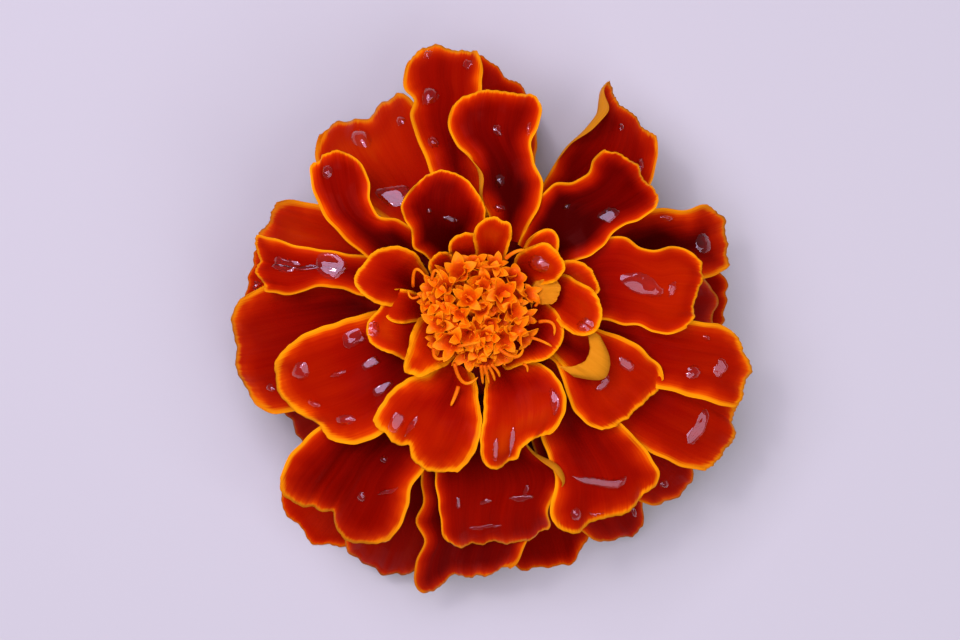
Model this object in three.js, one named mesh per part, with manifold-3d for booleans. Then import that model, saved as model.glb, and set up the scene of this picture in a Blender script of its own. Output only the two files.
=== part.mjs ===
// A picked French marigold head, lying face up on the tips of its lowest petals.
// Millimetres, +Z up. The surface that it lies on is z = 0, and the origin is the middle of
// the head's footprint. Angles are degrees, counter-clockwise from +X as seen from above.
import * as THREE from 'three';
import { mergeVertices } from 'three/addons/utils/BufferGeometryUtils.js';
import Module from 'manifold-3d';

const wasm = await Module();
wasm.setup();

// Driving dimensions
const AXIS_X = -1.063;
const AXIS_Y = 1.104;
const GAP = 0.3;
const LEAST_EDGE = 0.05;
const SAME_PLACE = 1e-4;
const SEED = 23;
// Well above and well round everything, for the spaces that are cut out of the petals
const CLEAR_HEIGHT = 40;
const CLEAR_WIDTH = 80;

const PETAL_THICKNESS = 0.65;
const NORMAL_STEP = 0.02;
// Height of the middle of a petal where it is pressed flat on the surface
const PRESSED_HEIGHT = 0.22;
// Reach past which a petal is a large one, with more faces and deeper waves
const LARGE_REACH = 14;
// Cells of a petal's grid: [rows from base to tip, columns from side to side]
const LARGE_GRID = [6, 6];
const SMALL_GRID = [4, 4];
const ROLLED_GRID = [7, 8];
const LYING_GRID = [8, 6];
// Radius that a roll tapers off to along the petal
const LEAST_ROLL = 0.01;
// How much less the sides of a petal overhang than its middle
const OVERHANG_ROUNDING = 0.45;

// The receptacle, the solid core that every petal grows from
const CORE_BOTTOM = 14.2;
const CORE_TOP = 20.5;
const CORE_PROFILE = [
  [0, CORE_BOTTOM], [6.3, CORE_BOTTOM], [7.4, 15.4], [8.6, 17.6], [8.6, 19.6], [7.5, CORE_TOP], [0, CORE_TOP],
];
const CORE_SIDES = 40;

// The yellow-orange disc of small tubular florets
const DISC_X = -0.5;
const DISC_RADIUS = 6.5;
const DISC_DOME_RADIUS = 5.0;
const DISC_DOME_EDGE = 22.2;
const DISC_DOME_RISE = 1.7;
const DISC_PROFILE = [[0, 20.8], [4.9, 20.8], [5.0, 21.8], [4.4, 22.7], [2.6, 23.5], [0, 23.9]];
const DISC_SIDES = 24;
const FLORET_LENGTH = 2.7;
const FLORET_THROAT = 0.42;
const FLORET_ROOT = 1.2;
// A star's notches, as a share of its half width, and how far its points rise past the throat
const STAR_NOTCH = 0.6;
const STAR_RISE = 0.2;
// One row a floret: place of its star's middle as seen from above, half width, direction in
// which it leans and by how much. A bud has no lean.
const FLORETS = [
  [-2.2, 4.2, 1.7, 120, 18], [-0.6, 5.2, 1.35, 95, 32], [0.3, 2.7, 1.75, 250, 12],
  [2.4, 1.8, 1.7, 30, 10], [3.6, 3.6, 1.6, 45, 30], [3.6, 0.1, 1.5, 0, 20],
  [3.7, -1.7, 1.45, 340, 26], [2.4, -2.8, 1.55, 300, 16], [4.8, -2.8, 1.3, 330, 46],
  [0.6, -2.7, 1.5, 270, 8], [-1.3, -2.3, 1.55, 250, 14], [-2.4, -0.6, 1.6, 170, 12],
  [-4.0, 1.1, 1.6, 175, 30], [-5.3, 2.6, 1.4, 160, 44], [-3.7, 2.8, 1.45, 140, 24],
  [-4.4, -1.3, 1.5, 190, 32], [-3.1, -3.2, 1.7, 225, 26], [-1.2, -4.6, 1.65, 255, 38],
  [2.5, -4.5, 1.55, 295, 36], [0.6, -5.3, 1.4, 272, 52], [-1.2, 1.5, 1.45, 120, 8],
  [1.6, 5.1, 1.3, 72, 40], [5.2, 1.9, 1.2, 15, 46], [-0.2, -3.9, 1.35, 262, 26],
  [-5.4, 0.1, 1.3, 180, 50], [1.3, 4.0, 1.35, 80, 20],
  [0.0, -0.9, 0.8, 0, null], [1.4, -1.1, 0.75, 0, null], [0.3, 0.5, 0.75, 0, null],
  [-0.9, 0.2, 0.7, 0, null], [1.4, 0.2, 0.7, 0, null],
];
const BUD_LENGTH = 0.5;

// The green calyx and the short stub of its stalk
const CALYX_TOP = 13.9;
const CALYX_RIM = 6.3;
const CALYX_WALL = 0.6;
const CALYX_TEETH = 13;
const CALYX_TOOTH_HEIGHT = 1.8;
const CALYX_NOTCH_INSET = 0.25;
const CALYX_RIB = 0.28;
// Heights between which the calyx's ribs rise out of the stalk
const CALYX_RIB_START = 2.6;
const CALYX_RIB_FULL = 8;
const CALYX_PROFILE = [
  [1.9, 0.4], [2.1, 0.8], [2.2, 2.6], [2.6, 3.4], [4.1, 4.6], [4.9, 6.4], [5.4, 8.8], [5.9, 11.2],
];
const CALYX_STEPS_PER_TOOTH = 2;
const CALYX_FLOOR_RADIUS = 5.3;
const CALYX_FLOOR_MIDDLE = 2;
const CALYX_FLOOR = 13.2;

const COLOURS = {
  petal: 0xa31405,
  floret: 0xf58a08,
  calyx: 0x6f8a3a,
};

// One row a petal, from the lowest whorl to the crest round the disc:
// name, direction of the tip, how far the tip reaches, half width on the left and on the right
// as seen from the axis, height of the base, height of the tip, rise of the arch between them,
// and what sets the petal apart. A tip height below the surface lets the tip lie flat on it.
// Where a petal shows, its outline is given as seen from above: the right side outwards from its
// claw, the end from its right corner to its left one, and the left side outwards from its claw.
const PETALS = [
  ['lowest_1', 86, 26.4, 4.6, 4.6, 14.6, -6, 6, { base: 76, corner: 0.72 }],
  ['lowest_2', 5, 27.4, 5.0, 5.0, 14.0, -6, 5, { corner: 0.8 }],
  ['lowest_3', 172, 26.0, 4.8, 4.8, 14.2, -6, 5.2, { corner: 0.8 }],
  ['lowest_4', 232, 31.2, 5.0, 5.4, 14.2, -6, 5, { corner: 0.85, ruffle: [0.4, 1.6, 1] }],
  ['lowest_5', 248, 30.5, 5.0, 4.8, 14.8, 3.0, 4, { corner: 0.8 }],
  ['lowest_6', 287, 29.4, 4.8, 5.0, 14.0, -6, 5, { corner: 0.82 }],
  ['lowest_7', 304, 29.5, 4.2, 4.4, 14.8, 3.2, 4, { corner: 0.7 }],
  ['lowest_8', 319, 29.5, 4.5, 4.6, 15.4, 5.4, 4, { corner: 0.7 }],
  ['lowest_9', 213, 24.2, 4.4, 4.4, 14.2, 1.6, 3, { corner: 0.8 }],
  ['second_1', 99, 28.6, 4.3, 4.6, 16.8, 11.8, 3.2, {
    base: 95, claw: 0.4,
    outline: [
      [[0.6, 12.0], [-0.1, 18.0], [0.3, 23.6]],
      [[0.4, 25.6], [-0.6, 27.4], [-2.0, 27.9], [-4.3, 28.2], [-6.4, 27.8], [-7.6, 26.6]],
      [[-3.8, 11.0], [-6.0, 17.0], [-7.2, 20.4], [-7.0, 22.0], [-7.9, 23.2], [-8.1, 24.9]],
    ],
  }],
  ['second_2', 121, 24.6, 5.8, 5.7, 15.8, 9.0, 3.2, {
    outline: [
      [[-2.5, 10.5], [-4.6, 17.0], [-6.0, 20.6]],
      [[-7.3, 22.5], [-8.3, 23.0], [-9.9, 22.7], [-11.1, 21.9], [-12.0, 20.9], [-13.0, 20.6],
       [-14.7, 20.5], [-16.1, 19.9], [-17.1, 18.8]],
      [[-8.6, 8.6], [-13.5, 12.0], [-16.7, 15.0], [-17.6, 17.0]],
    ],
  }],
  ['second_3', 52, 26.4, 4.9, 5.0, 15.8, 10.0, 3, {
    rolls: [[1, 0.78, 0.15, 1.1, 2.9]],
    outline: [
      [[8.6, 6.5], [14.5, 9.5], [17.8, 13.0], [18.5, 15.4]],
      [[18.6, 17.3], [18.3, 18.7], [17.5, 20.0], [16.3, 21.2], [15.1, 21.9], [14.5, 22.6], [14.6, 23.5],
       [14.3, 24.2], [13.7, 24.5]],
      [[4.4, 9.5], [7.0, 14.2], [8.8, 17.0], [10.9, 18.9], [12.1, 20.6], [12.5, 22.3], [12.9, 23.8]],
    ],
  }],
  ['second_4', 16, 27.5, 5.0, 4.8, 16.0, 9.4, 3.2, {
    outline: [
      [[9.5, -0.5], [16.0, 1.2], [22.0, 3.0]],
      [[25.2, 4.2], [26.1, 4.8], [26.5, 6.3], [26.5, 8.0], [25.9, 10.1], [24.8, 11.0], [23.6, 11.3]],
      [[7.5, 6.5], [13.0, 9.4], [18.8, 10.8], [21.6, 10.8]],
    ],
  }],
  ['second_5', 1, 25.6, 5.0, 5.0, 15.2, 5.6, 4, { corner: 0.7 }],
  ['second_6', 159, 24.8, 5.0, 4.4, 15.2, 7.6, 3.2, {
    outline: [
      [[-9.0, 8.0], [-14.5, 10.8], [-18.8, 11.6]],
      [[-20.8, 11.6], [-22.2, 11.0], [-23.1, 9.7], [-23.5, 7.8], [-23.3, 5.6]],
      [[-10.0, 1.5], [-16.0, 2.2], [-21.5, 3.6]],
    ],
  }],
  ['second_7', 190.5, 26.7, 6.6, 5.4, 16.0, 8.7, 3.2, {
    outline: [
      [[-11.0, 3.8], [-17.0, 4.2], [-21.5, 3.2]],
      [[-24.3, 2.1], [-25.7, 1.0], [-26.3, -0.7], [-26.5, -2.7], [-26.1, -5.3], [-25.5, -7.3],
       [-24.5, -9.1], [-23.2, -10.3]],
      [[-10.0, -6.5], [-16.0, -9.4], [-20.4, -10.5], [-21.9, -10.7]],
    ],
  }],
  ['second_8', 266.5, 29.6, 5.8, 5.8, 15.8, 6.0, 4, {
    outline: [
      [[-5.2, -12.0], [-6.1, -17.5], [-5.9, -19.9], [-6.6, -21.7], [-5.9, -23.9], [-6.9, -26.3],
       [-7.1, -27.8]],
      [[-6.1, -29.7], [-4.8, -29.5], [-3.5, -28.8], [-1.9, -28.7], [-0.1, -28.3], [1.6, -27.8],
       [3.4, -27.0]],
      [[4.0, -12.0], [5.4, -19.0], [5.0, -24.0]],
    ],
  }],
  ['third_1', 167, 24.3, 2.9, 3.1, 17.4, 14.5, 2.2, {
    claw: 0.45,
    outline: [
      [[-9.5, 5.4], [-13.8, 6.2], [-18.5, 6.9], [-21.5, 7.6]],
      [[-22.9, 7.8], [-23.4, 6.7], [-23.3, 5.6], [-23.4, 4.4], [-22.9, 3.1], [-22.2, 2.3]],
      [[-9.5, 1.2], [-12.6, 1.7], [-14.8, 2.4], [-16.6, 2.5], [-19.2, 1.7], [-20.8, 2.0]],
    ],
  }],
  ['third_2', 233, 28.4, 6.3, 6.3, 16.8, 11.4, 3.2, {
    outline: [
      [[-9.5, -7.0], [-14.5, -10.0], [-18.1, -12.9], [-20.0, -14.9]],
      [[-20.7, -16.8], [-20.7, -18.4], [-19.9, -19.8], [-18.4, -21.0], [-17.2, -21.4], [-16.0, -21.7],
       [-15.5, -22.5], [-14.2, -23.7], [-12.8, -24.5], [-11.5, -24.8], [-10.4, -24.4], [-9.3, -23.7]],
      [[-2.5, -10.5], [-5.4, -16.0], [-6.9, -18.2], [-7.2, -20.0], [-8.2, -22.4]],
    ],
  }],
  ['third_3', 275.5, 24.9, 7.6, 6.1, 17.2, 11.6, 3.2, {
    rolls: [[1, 0.56, 0.13, 0.9, 2.8]],
    outline: [
      [[-3.4, -11.0], [-4.6, -17.0], [-4.3, -21.2]],
      [[-3.8, -23.4], [-2.6, -24.3], [-0.4, -24.6], [2.1, -24.5], [4.6, -24.1], [6.4, -23.5],
       [7.3, -22.7]],
      [[3.6, -11.0], [5.4, -14.2], [8.2, -15.6], [8.75, -16.9], [8.0, -18.5], [7.2, -20.3]],
    ],
  }],
  ['third_4', 305, 26.6, 5.4, 5.5, 18.2, 13.8, 3.2, {
    outline: [
      [[4.6, -9.5], [6.8, -14.5], [7.7, -18.0], [7.2, -20.0]],
      [[7.5, -21.5], [8.5, -22.6], [9.9, -23.0], [11.1, -22.8], [12.1, -22.1], [14.9, -21.1],
       [16.4, -20.3], [17.6, -19.0], [18.4, -17.9]],
      [[9.5, -5.5], [13.0, -9.5], [15.1, -11.8], [16.7, -13.3], [17.9, -15.1], [18.6, -16.6]],
    ],
  }],
  ['third_5', 347, 28.9, 4.9, 4.4, 17.6, 13.2, 3, {
    outline: [
      [[11.0, -5.0], [17.0, -7.6], [23.0, -9.0], [25.0, -9.6]],
      [[26.5, -9.8], [27.4, -8.7], [28.3, -7.4], [28.6, -6.2], [28.2, -4.8], [27.5, -3.2], [26.4, -2.0]],
      [[11.0, 0.8], [17.0, 0.0], [22.4, -1.0], [24.7, -1.3]],
    ],
  }],
  ['third_6', 331.5, 30.3, 5.0, 4.6, 16.6, 10.2, 3.2, {
    outline: [
      [[10.5, -8.5], [15.0, -13.0], [18.6, -15.0], [21.2, -16.1]],
      [[23.2, -16.3], [24.9, -16.0], [26.2, -15.0], [26.8, -13.6], [27.1, -11.9], [26.8, -10.0]],
      [[12.0, -2.5], [19.0, -5.6], [24.6, -8.0]],
    ],
  }],
  ['fourth_1', 86, 22.9, 4.9, 4.8, 18.6, 20.5, 2, {
    base: 62, claw: 0.4, rolls: [[1, 0.52, 0.1, 0.55, 2.9]],
    outline: [
      [[4.5, 8.0], [5.9, 10.8], [6.5, 13.3], [5.6, 15.6], [5.3, 17.2], [6.0, 18.9]],
      [[6.4, 20.5], [5.7, 21.9], [4.5, 22.5], [2.7, 22.8], [1.1, 22.7], [-0.7, 22.6], [-2.0, 22.1],
       [-2.8, 21.2]],
      [[1.2, 9.0], [0.0, 12.0], [-0.1, 14.2], [-1.0, 15.7], [-2.4, 17.0], [-3.2, 18.6]],
    ],
  }],
  ['fourth_2', 43, 21.6, 5.0, 4.9, 18.8, 19.4, 2, {
    outline: [
      [[8.4, 4.8], [12.4, 6.6], [14.2, 8.6], [16.5, 9.4]],
      [[17.8, 10.4], [18.2, 12.0], [17.6, 13.1], [16.9, 14.2], [16.1, 15.2], [15.0, 15.9], [13.9, 16.6],
       [12.9, 16.8]],
      [[4.2, 7.6], [6.2, 11.6], [7.6, 13.1], [9.6, 13.3], [10.9, 14.2], [11.5, 15.7]],
    ],
  }],
  ['fourth_3', 7.5, 23.2, 4.8, 4.8, 18.6, 17.6, 2, {
    outline: [
      [[8.5, -1.2], [12.6, -0.8], [14.8, -1.3], [16.4, -1.3], [17.8, -2.0], [19.2, -2.3]],
      [[20.8, -1.8], [22.2, -0.2], [22.2, 0.9], [22.7, 2.1], [23.1, 3.3], [23.0, 4.8], [22.2, 6.1]],
      [[7.0, 4.6], [10.5, 6.6], [12.0, 7.5], [14.9, 7.6], [16.5, 6.5], [17.6, 6.2], [19.6, 6.8]],
    ],
  }],
  ['fourth_4', 138, 22.9, 3.1, 3.0, 18.6, 19.5, 1.5, {
    claw: 0.5,
    outline: [
      [[-5.6, 7.4], [-8.4, 9.4], [-10.5, 9.9], [-11.2, 11.4], [-11.3, 13.3]],
      [[-11.9, 14.9], [-13.0, 16.0], [-14.7, 16.7], [-15.8, 16.3], [-16.6, 15.7], [-17.4, 15.1]],
      [[-8.0, 3.4], [-12.2, 6.2], [-14.3, 8.1], [-15.9, 9.8], [-16.8, 11.6], [-17.4, 13.4]],
    ],
  }],
  ['fourth_5', 205, 22.2, 6.2, 6.2, 18.6, 16.5, 2.5, {
    outline: [
      [[-8.0, 0.6], [-11.9, -0.2], [-15.1, -1.0], [-17.6, -1.9]],
      [[-19.6, -3.2], [-21.0, -5.0], [-21.5, -6.8], [-21.0, -8.5], [-19.5, -9.9], [-17.7, -11.1],
       [-16.2, -12.6], [-14.8, -13.4]],
      [[-5.0, -7.6], [-8.2, -11.2], [-10.5, -12.9], [-12.8, -13.6]],
    ],
  }],
  ['crest_1', 108, 15.1, 4.3, 4.2, 19.6, 24.5, 0.8, {
    base: 120, start: 6.4, claw: 0.45,
    outline: [
      [[-0.6, 7.4], [0.4, 9.6]],
      [[0.4, 10.8], [-0.1, 12.0], [-0.9, 13.0], [-2.6, 14.1], [-3.9, 14.5], [-4.9, 14.2], [-5.8, 13.5],
       [-6.8, 12.6]],
      [[-5.6, 5.8], [-6.9, 6.7], [-7.1, 8.5], [-7.7, 9.8], [-8.0, 10.9]],
    ],
  }],
  ['crest_2', 246, 16.6, 5.5, 5.2, 19.6, 20.5, 1.8, {
    start: 6.4,
    outline: [
      [[-5.4, -6.4], [-7.2, -6.8], [-8.8, -7.7], [-9.9, -9.0]],
      [[-10.7, -10.8], [-10.3, -11.8], [-9.5, -12.5], [-9.0, -13.3], [-8.2, -13.9], [-7.3, -13.7],
       [-7.1, -14.4], [-6.5, -15.4], [-5.4, -16.3], [-4.0, -16.6], [-2.3, -16.2]],
      [[-0.4, -7.4], [-0.1, -9.4], [0.25, -11.4], [0.0, -13.0], [-0.8, -14.8]],
    ],
  }],
  ['crest_3', 290, 15.2, 5.0, 4.9, 19.6, 21.4, 1.5, {
    start: 6.4,
    outline: [
      [[0.6, -8.0], [0.3, -11.0], [-0.1, -13.4]],
      [[0.1, -14.8], [0.7, -15.6], [1.4, -15.9], [2.9, -15.7], [3.8, -15.0], [4.3, -13.8], [5.2, -13.1],
       [6.4, -12.8], [7.4, -12.2]],
      [[6.2, -5.4], [7.8, -6.6], [8.7, -8.2], [8.8, -9.7], [8.3, -11.1]],
    ],
  }],
  ['crest_4', 331, 20.2, 4.7, 4.0, 19.0, 17.8, 1.8, {
    outline: [
      [[8.0, -5.6], [8.7, -7.6], [9.7, -10.0], [11.0, -11.5]],
      [[12.4, -12.1], [14.2, -11.5], [15.7, -10.7], [17.2, -9.2], [18.4, -8.0], [18.9, -6.9]],
      [[9.0, -1.0], [13.0, -2.0], [15.6, -3.1], [17.2, -4.4], [18.7, -5.7]],
    ],
  }],
  ['crest_5', 160, 13.0, 3.1, 3.2, 19.6, 24.5, 1.2, {
    start: 7.2, claw: 0.6,
    outline: [
      [[-7.2, 6.3], [-8.8, 6.7]],
      [[-9.9, 6.5], [-11.0, 5.9], [-11.8, 5.0], [-12.6, 3.9], [-12.7, 3.0], [-12.1, 2.0]],
      [[-8.0, 0.6], [-10.4, 0.9]],
    ],
  }],
  ['crest_6', 194, 11.6, 3.1, 2.6, 19.6, 23.5, 1, {
    start: 7.2, claw: 0.7,
    outline: [
      [[-8.4, 1.2]],
      [[-9.9, 0.9], [-10.6, 0.0], [-11.4, -1.0], [-11.6, -2.0], [-11.1, -3.1], [-10.2, -3.8]],
      [[-7.4, -5.0], [-8.8, -4.4]],
    ],
  }],
  ['crest_7', 338.5, 11.0, 2.7, 2.7, 19.6, 24.6, 0.4, {
    base: 353.5, start: 7.4, overhang: 10.4, corner: 1.15, claw: 0.6, cup: 0.2,
  }],
  ['crest_8', 2, 12.3, 3.3, 3.0, 19.6, 25.0, 1, {
    start: 7.3, claw: 0.35,
    outline: [
      [[7.6, -0.6], [8.6, -1.5]],
      [[9.7, -2.2], [10.8, -2.4], [11.7, -2.0], [12.2, -1.0], [12.4, 0.2], [12.1, 1.3], [11.4, 2.2]],
      [[6.6, 3.0], [7.5, 4.0], [8.6, 4.0], [10.0, 3.2]],
    ],
  }],
  ['crest_9', 22, 12.3, 2.4, 2.2, 19.4, 22.4, 1, {
    start: 6.8,
    outline: [
      [[8.8, 0.8], [10.8, 1.0]],
      [[12.0, 1.9], [12.2, 2.6], [11.8, 3.6], [11.1, 4.6], [10.3, 5.2]],
      [[6.4, 4.2], [8.2, 5.1], [9.4, 5.4]],
    ],
  }],
  ['inner_1', 80, 9.7, 1.9, 1.9, 19.6, 25.8, 0.6, { start: 6.8, claw: 0.8 }],
  ['inner_2', 214, 9.3, 3.0, 3.6, 19.6, 24.6, 0.6, { start: 7.2, claw: 0.8 }],
  ['inner_3', 37, 9.6, 2.4, 2.4, 19.6, 25.6, 1.2, { start: 6.8, claw: 0.7 }],
  ['inner_4', 48, 11.2, 1.4, 2.2, 19.6, 24.0, 0.8, { start: 6.8, corner: 0.4 }],
  ['inner_5', 346, 9.2, 3.2, 3.2, 19.4, 22.6, 0.8, { start: 6.8, spread: 0.5, claw: 0.8 }],
  ['inner_6', 128, 7.4, 1.5, 1.3, 19.6, 23.6, 0.6, { start: 6.8, spread: 0.5, claw: 0.8 }],
  ['inner_7', 102, 8.2, 1.8, 1.8, 19.6, 24.0, 0.6, { start: 6.8, spread: 0.5, claw: 0.8 }],
  ['inner_8', 313, 7.8, 2.6, 2.6, 19.4, 23.2, 0.6, { start: 6.8, spread: 0.5, claw: 0.8 }],
  ['inner_10', 16, 7.2, 2.0, 2.0, 19.6, 24.6, 0.4, {
    start: 7.0, overhang: 0.6, spread: 0.5, claw: 0.7, cup: 0.8,
  }],
  ['inner_9', 174, 10.0, 2.0, 1.5, 19.4, 23.0, 0.8, { start: 7.2, spread: 0.5, claw: 0.8 }],
];

function petalShape([name, azimuth, reach, left, right, baseHeight, tipHeight, arch, own]) {
  const large = reach > LARGE_REACH;
  return {
    name,
    azimuth,
    reach,
    left,
    right,
    baseHeight,
    tipHeight,
    arch,
    base: azimuth,
    start: 5.5,
    overhang: 0,
    corner: 0.62,
    spread: 0.65,
    claw: 0.3,
    cup: large ? 0.6 : 0.35,
    ruffle: large ? [0.35, 1.6, 0] : [0.12, 1.6, 0],
    pleats: large ? 0.25 : 0.08,
    rolls: [],
    outline: null,
    ...own,
  };
}

function directionOf(angle) {
  const turn = THREE.MathUtils.degToRad(angle);
  return new THREE.Vector2(Math.cos(turn), Math.sin(turn));
}

// Where the petal's rib starts and ends as seen from above, and its forward and left directions
function petalLine(petal) {
  const base = directionOf(petal.base).multiplyScalar(petal.start);
  const tip = directionOf(petal.azimuth).multiplyScalar(petal.reach);
  const length = tip.distanceTo(base);
  const forward = tip.clone().sub(base).normalize();
  const sideways = new THREE.Vector2(-forward.y, forward.x);
  return { base, tip, length, forward, sideways };
}

// How far along a line of straight chords each of its points lies
function chordPlaces(points) {
  const places = [0];
  for (let index = 1; index < points.length; index += 1) {
    places.push(places[index - 1] + points[index].distanceTo(points[index - 1]));
  }
  return places;
}

// The slope of a smooth curve at one of its points, from the chords before and after it
function slopeAt(points, places, index) {
  const last = points.length - 1;
  const length = (from) => places[from + 1] - places[from];
  const chord = (from) => points[from + 1].clone().sub(points[from]).divideScalar(length(from));
  if (index === 0 || index === last) {
    return chord(Math.min(index, last - 1));
  }
  const before = length(index - 1);
  const after = length(index);
  const slope = chord(index - 1).multiplyScalar(after).addScaledVector(chord(index), before);
  return slope.divideScalar(before + after);
}

// The smooth curve through points, evaluated at place: a cubic Hermite piece between neighbours
function smoothCurve(points, places, place) {
  let index = 0;
  while (index < points.length - 2 && place >= places[index + 1]) {
    index += 1;
  }
  const gap = places[index + 1] - places[index];
  const x = (place - places[index]) / gap;
  return new THREE.Vector2()
    .addScaledVector(points[index], (1 + 2 * x) * (1 - x) ** 2)
    .addScaledVector(slopeAt(points, places, index), x * (1 - x) ** 2 * gap)
    .addScaledVector(points[index + 1], x ** 2 * (3 - 2 * x))
    .addScaledVector(slopeAt(points, places, index + 1), -(x ** 2) * (1 - x) * gap);
}

// A plan point of an outlined petal, and the half width there. The outline is one smooth curve.
// Rows are straight between its two sides, and bulge towards its end by the square of along.
function outlinedSheet(petal, lateral, along) {
  const { base, sideways } = petalLine(petal);
  const [right, end, left] = petal.outline.map((side) => side.map(([x, y]) => new THREE.Vector2(x, y)));
  const rightClaw = base.clone().addScaledVector(sideways, -petal.claw * petal.right);
  const leftClaw = base.clone().addScaledVector(sideways, petal.claw * petal.left);
  const outline = [rightClaw, ...right, ...end, ...left.reverse(), leftClaw];
  const places = chordPlaces(outline);
  const first = places[right.length + 1];
  const last = places[right.length + end.length];
  const whole = places[places.length - 1];
  const rightSide = smoothCurve(outline, places, along * first);
  const leftSide = smoothCurve(outline, places, whole - along * (whole - last));
  const share = (lateral + 1) / 2;
  const straight = end[0].clone().lerp(end[end.length - 1], share);
  const bulge = smoothCurve(outline, places, first + share * (last - first)).sub(straight);
  const plan = rightSide.clone().lerp(leftSide, share).addScaledVector(bulge, along ** 2);
  const edge = lateral > 0 ? leftSide.sub(base).dot(sideways) : base.clone().sub(rightSide).dot(sideways);
  return { plan, edge };
}

// A roll's radius: a Gaussian along the petal
function rollRadius([, at, length, radius], along) {
  return radius * Math.exp(-(((along - at) / length) ** 2)) + LEAST_ROLL;
}

// The flat petal: its share of the rib's length, the distance from the rib on its own side, and
// the half width at which it is seen from above. Without an outline it widens from its claw to a
// rounded end, whose corners stand at `corner` of the length. A rolled side is longer by what the
// roll takes.
function petalSheet(petal, lateral, across, along) {
  const { base, length, forward, sideways } = petalLine(petal);
  const side = lateral > 0 ? 1 : -1;
  const sheet = {};
  if (petal.outline) {
    const { plan, edge } = outlinedSheet(petal, lateral, along);
    plan.sub(base);
    sheet.q = plan.dot(forward) / length;
    sheet.offset = side * plan.dot(sideways);
    sheet.edge = edge;
  } else {
    sheet.q = along * (petal.corner + (1 - petal.corner) * Math.cos(Math.PI / 2 * across));
    const opening = petal.claw + (1 - petal.claw) * THREE.MathUtils.smoothstep(sheet.q, 0, petal.spread);
    sheet.edge = (side > 0 ? petal.left : petal.right) * opening;
    sheet.offset = Math.abs(lateral) * sheet.edge;
  }
  const roll = petal.rolls.find(([rollSide]) => rollSide === side);
  if (roll) {
    const [, , , , angle] = roll;
    sheet.offset *= 1 + (angle - 1) * rollRadius(roll, along) / sheet.edge;
  }
  return { side, roll, ...sheet };
}

// A point in the middle of the petal's thickness. The rib runs from the base to the tip on a
// quadratic curve in plan, and rises as a straight line plus an arch. A petal that overhangs runs
// out past its tip and back. The flat petal is laid along the rib, and it is cupped, ruffled
// towards its edges, pleated, and rolled over on a circular arc where it has a roll.
function petalPoint(petal, across, along) {
  const lateral = Math.sin(Math.PI / 2 * across);
  const { side, roll, q, offset, edge } = petalSheet(petal, lateral, across, along);
  const { base, tip, forward } = petalLine(petal);
  const overhang = petal.overhang * (1 - OVERHANG_ROUNDING * lateral ** 2);
  const middle = base.clone().lerp(tip, 0.5).addScaledVector(forward, overhang);
  const rib = new THREE.Vector3(
    (1 - q) ** 2 * base.x + 2 * q * (1 - q) * middle.x + q * q * tip.x,
    (1 - q) ** 2 * base.y + 2 * q * (1 - q) * middle.y + q * q * tip.y,
    petal.baseHeight + (petal.tipHeight - petal.baseHeight) * q + petal.arch * 4 * q * (1 - q),
  );
  const run = new THREE.Vector3(
    2 * (1 - q) * (middle.x - base.x) + 2 * q * (tip.x - middle.x),
    2 * (1 - q) * (middle.y - base.y) + 2 * q * (tip.y - middle.y),
    petal.tipHeight - petal.baseHeight + petal.arch * 4 * (1 - 2 * q),
  );
  const sideways = new THREE.Vector3(-forward.y, forward.x, 0);
  const upward = run.cross(sideways).normalize();

  const [ruffleHeight, ruffleTurns, rufflePhase] = petal.ruffle;
  const ruffleAngle = 2 * Math.PI * ruffleTurns * q + rufflePhase + 1.5 * side;
  const ruffle = Math.abs(lateral) ** 3 * Math.sin(ruffleAngle) * THREE.MathUtils.smoothstep(q, 0, 0.4);
  let out = offset;
  let lift = petal.cup * lateral ** 2 * THREE.MathUtils.smoothstep(q, 0, 0.5);
  lift += ruffleHeight * ruffle;
  lift += petal.pleats * q ** 2 * Math.sin(2 * Math.PI * lateral);
  if (roll) {
    const radius = rollRadius(roll, along);
    const flat = edge - radius;
    const turn = (offset - flat) / radius;
    if (turn > 0) {
      out = flat + radius * Math.sin(turn);
      lift += radius * (1 - Math.cos(turn));
    }
  }
  const point = rib.addScaledVector(sideways, side * out).addScaledVector(upward, lift);
  point.z = Math.max(point.z, PRESSED_HEIGHT);
  return point;
}

function petalNormal(petal, across, along) {
  const alongLow = Math.max(along - NORMAL_STEP, 0);
  const alongHigh = Math.min(along + NORMAL_STEP, 1);
  const acrossLow = Math.max(across - NORMAL_STEP, -1);
  const acrossHigh = Math.min(across + NORMAL_STEP, 1);
  const forward = petalPoint(petal, across, alongHigh).sub(petalPoint(petal, across, alongLow));
  const left = petalPoint(petal, acrossHigh, along).sub(petalPoint(petal, acrossLow, along));
  return forward.cross(left).normalize();
}

function closedGeometry(points, triangles) {
  const geometry = new THREE.BufferGeometry();
  const numbers = points.flatMap((point) => [point.x, point.y, point.z]);
  geometry.setAttribute('position', new THREE.Float32BufferAttribute(numbers, 3));
  geometry.setIndex(triangles.flat());
  return geometry;
}

function petalGrid(petal) {
  if (petal.rolls.length > 0) {
    return ROLLED_GRID;
  }
  if (petal.tipHeight < 0) {
    return LYING_GRID;
  }
  return petal.reach > LARGE_REACH ? LARGE_GRID : SMALL_GRID;
}

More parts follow.
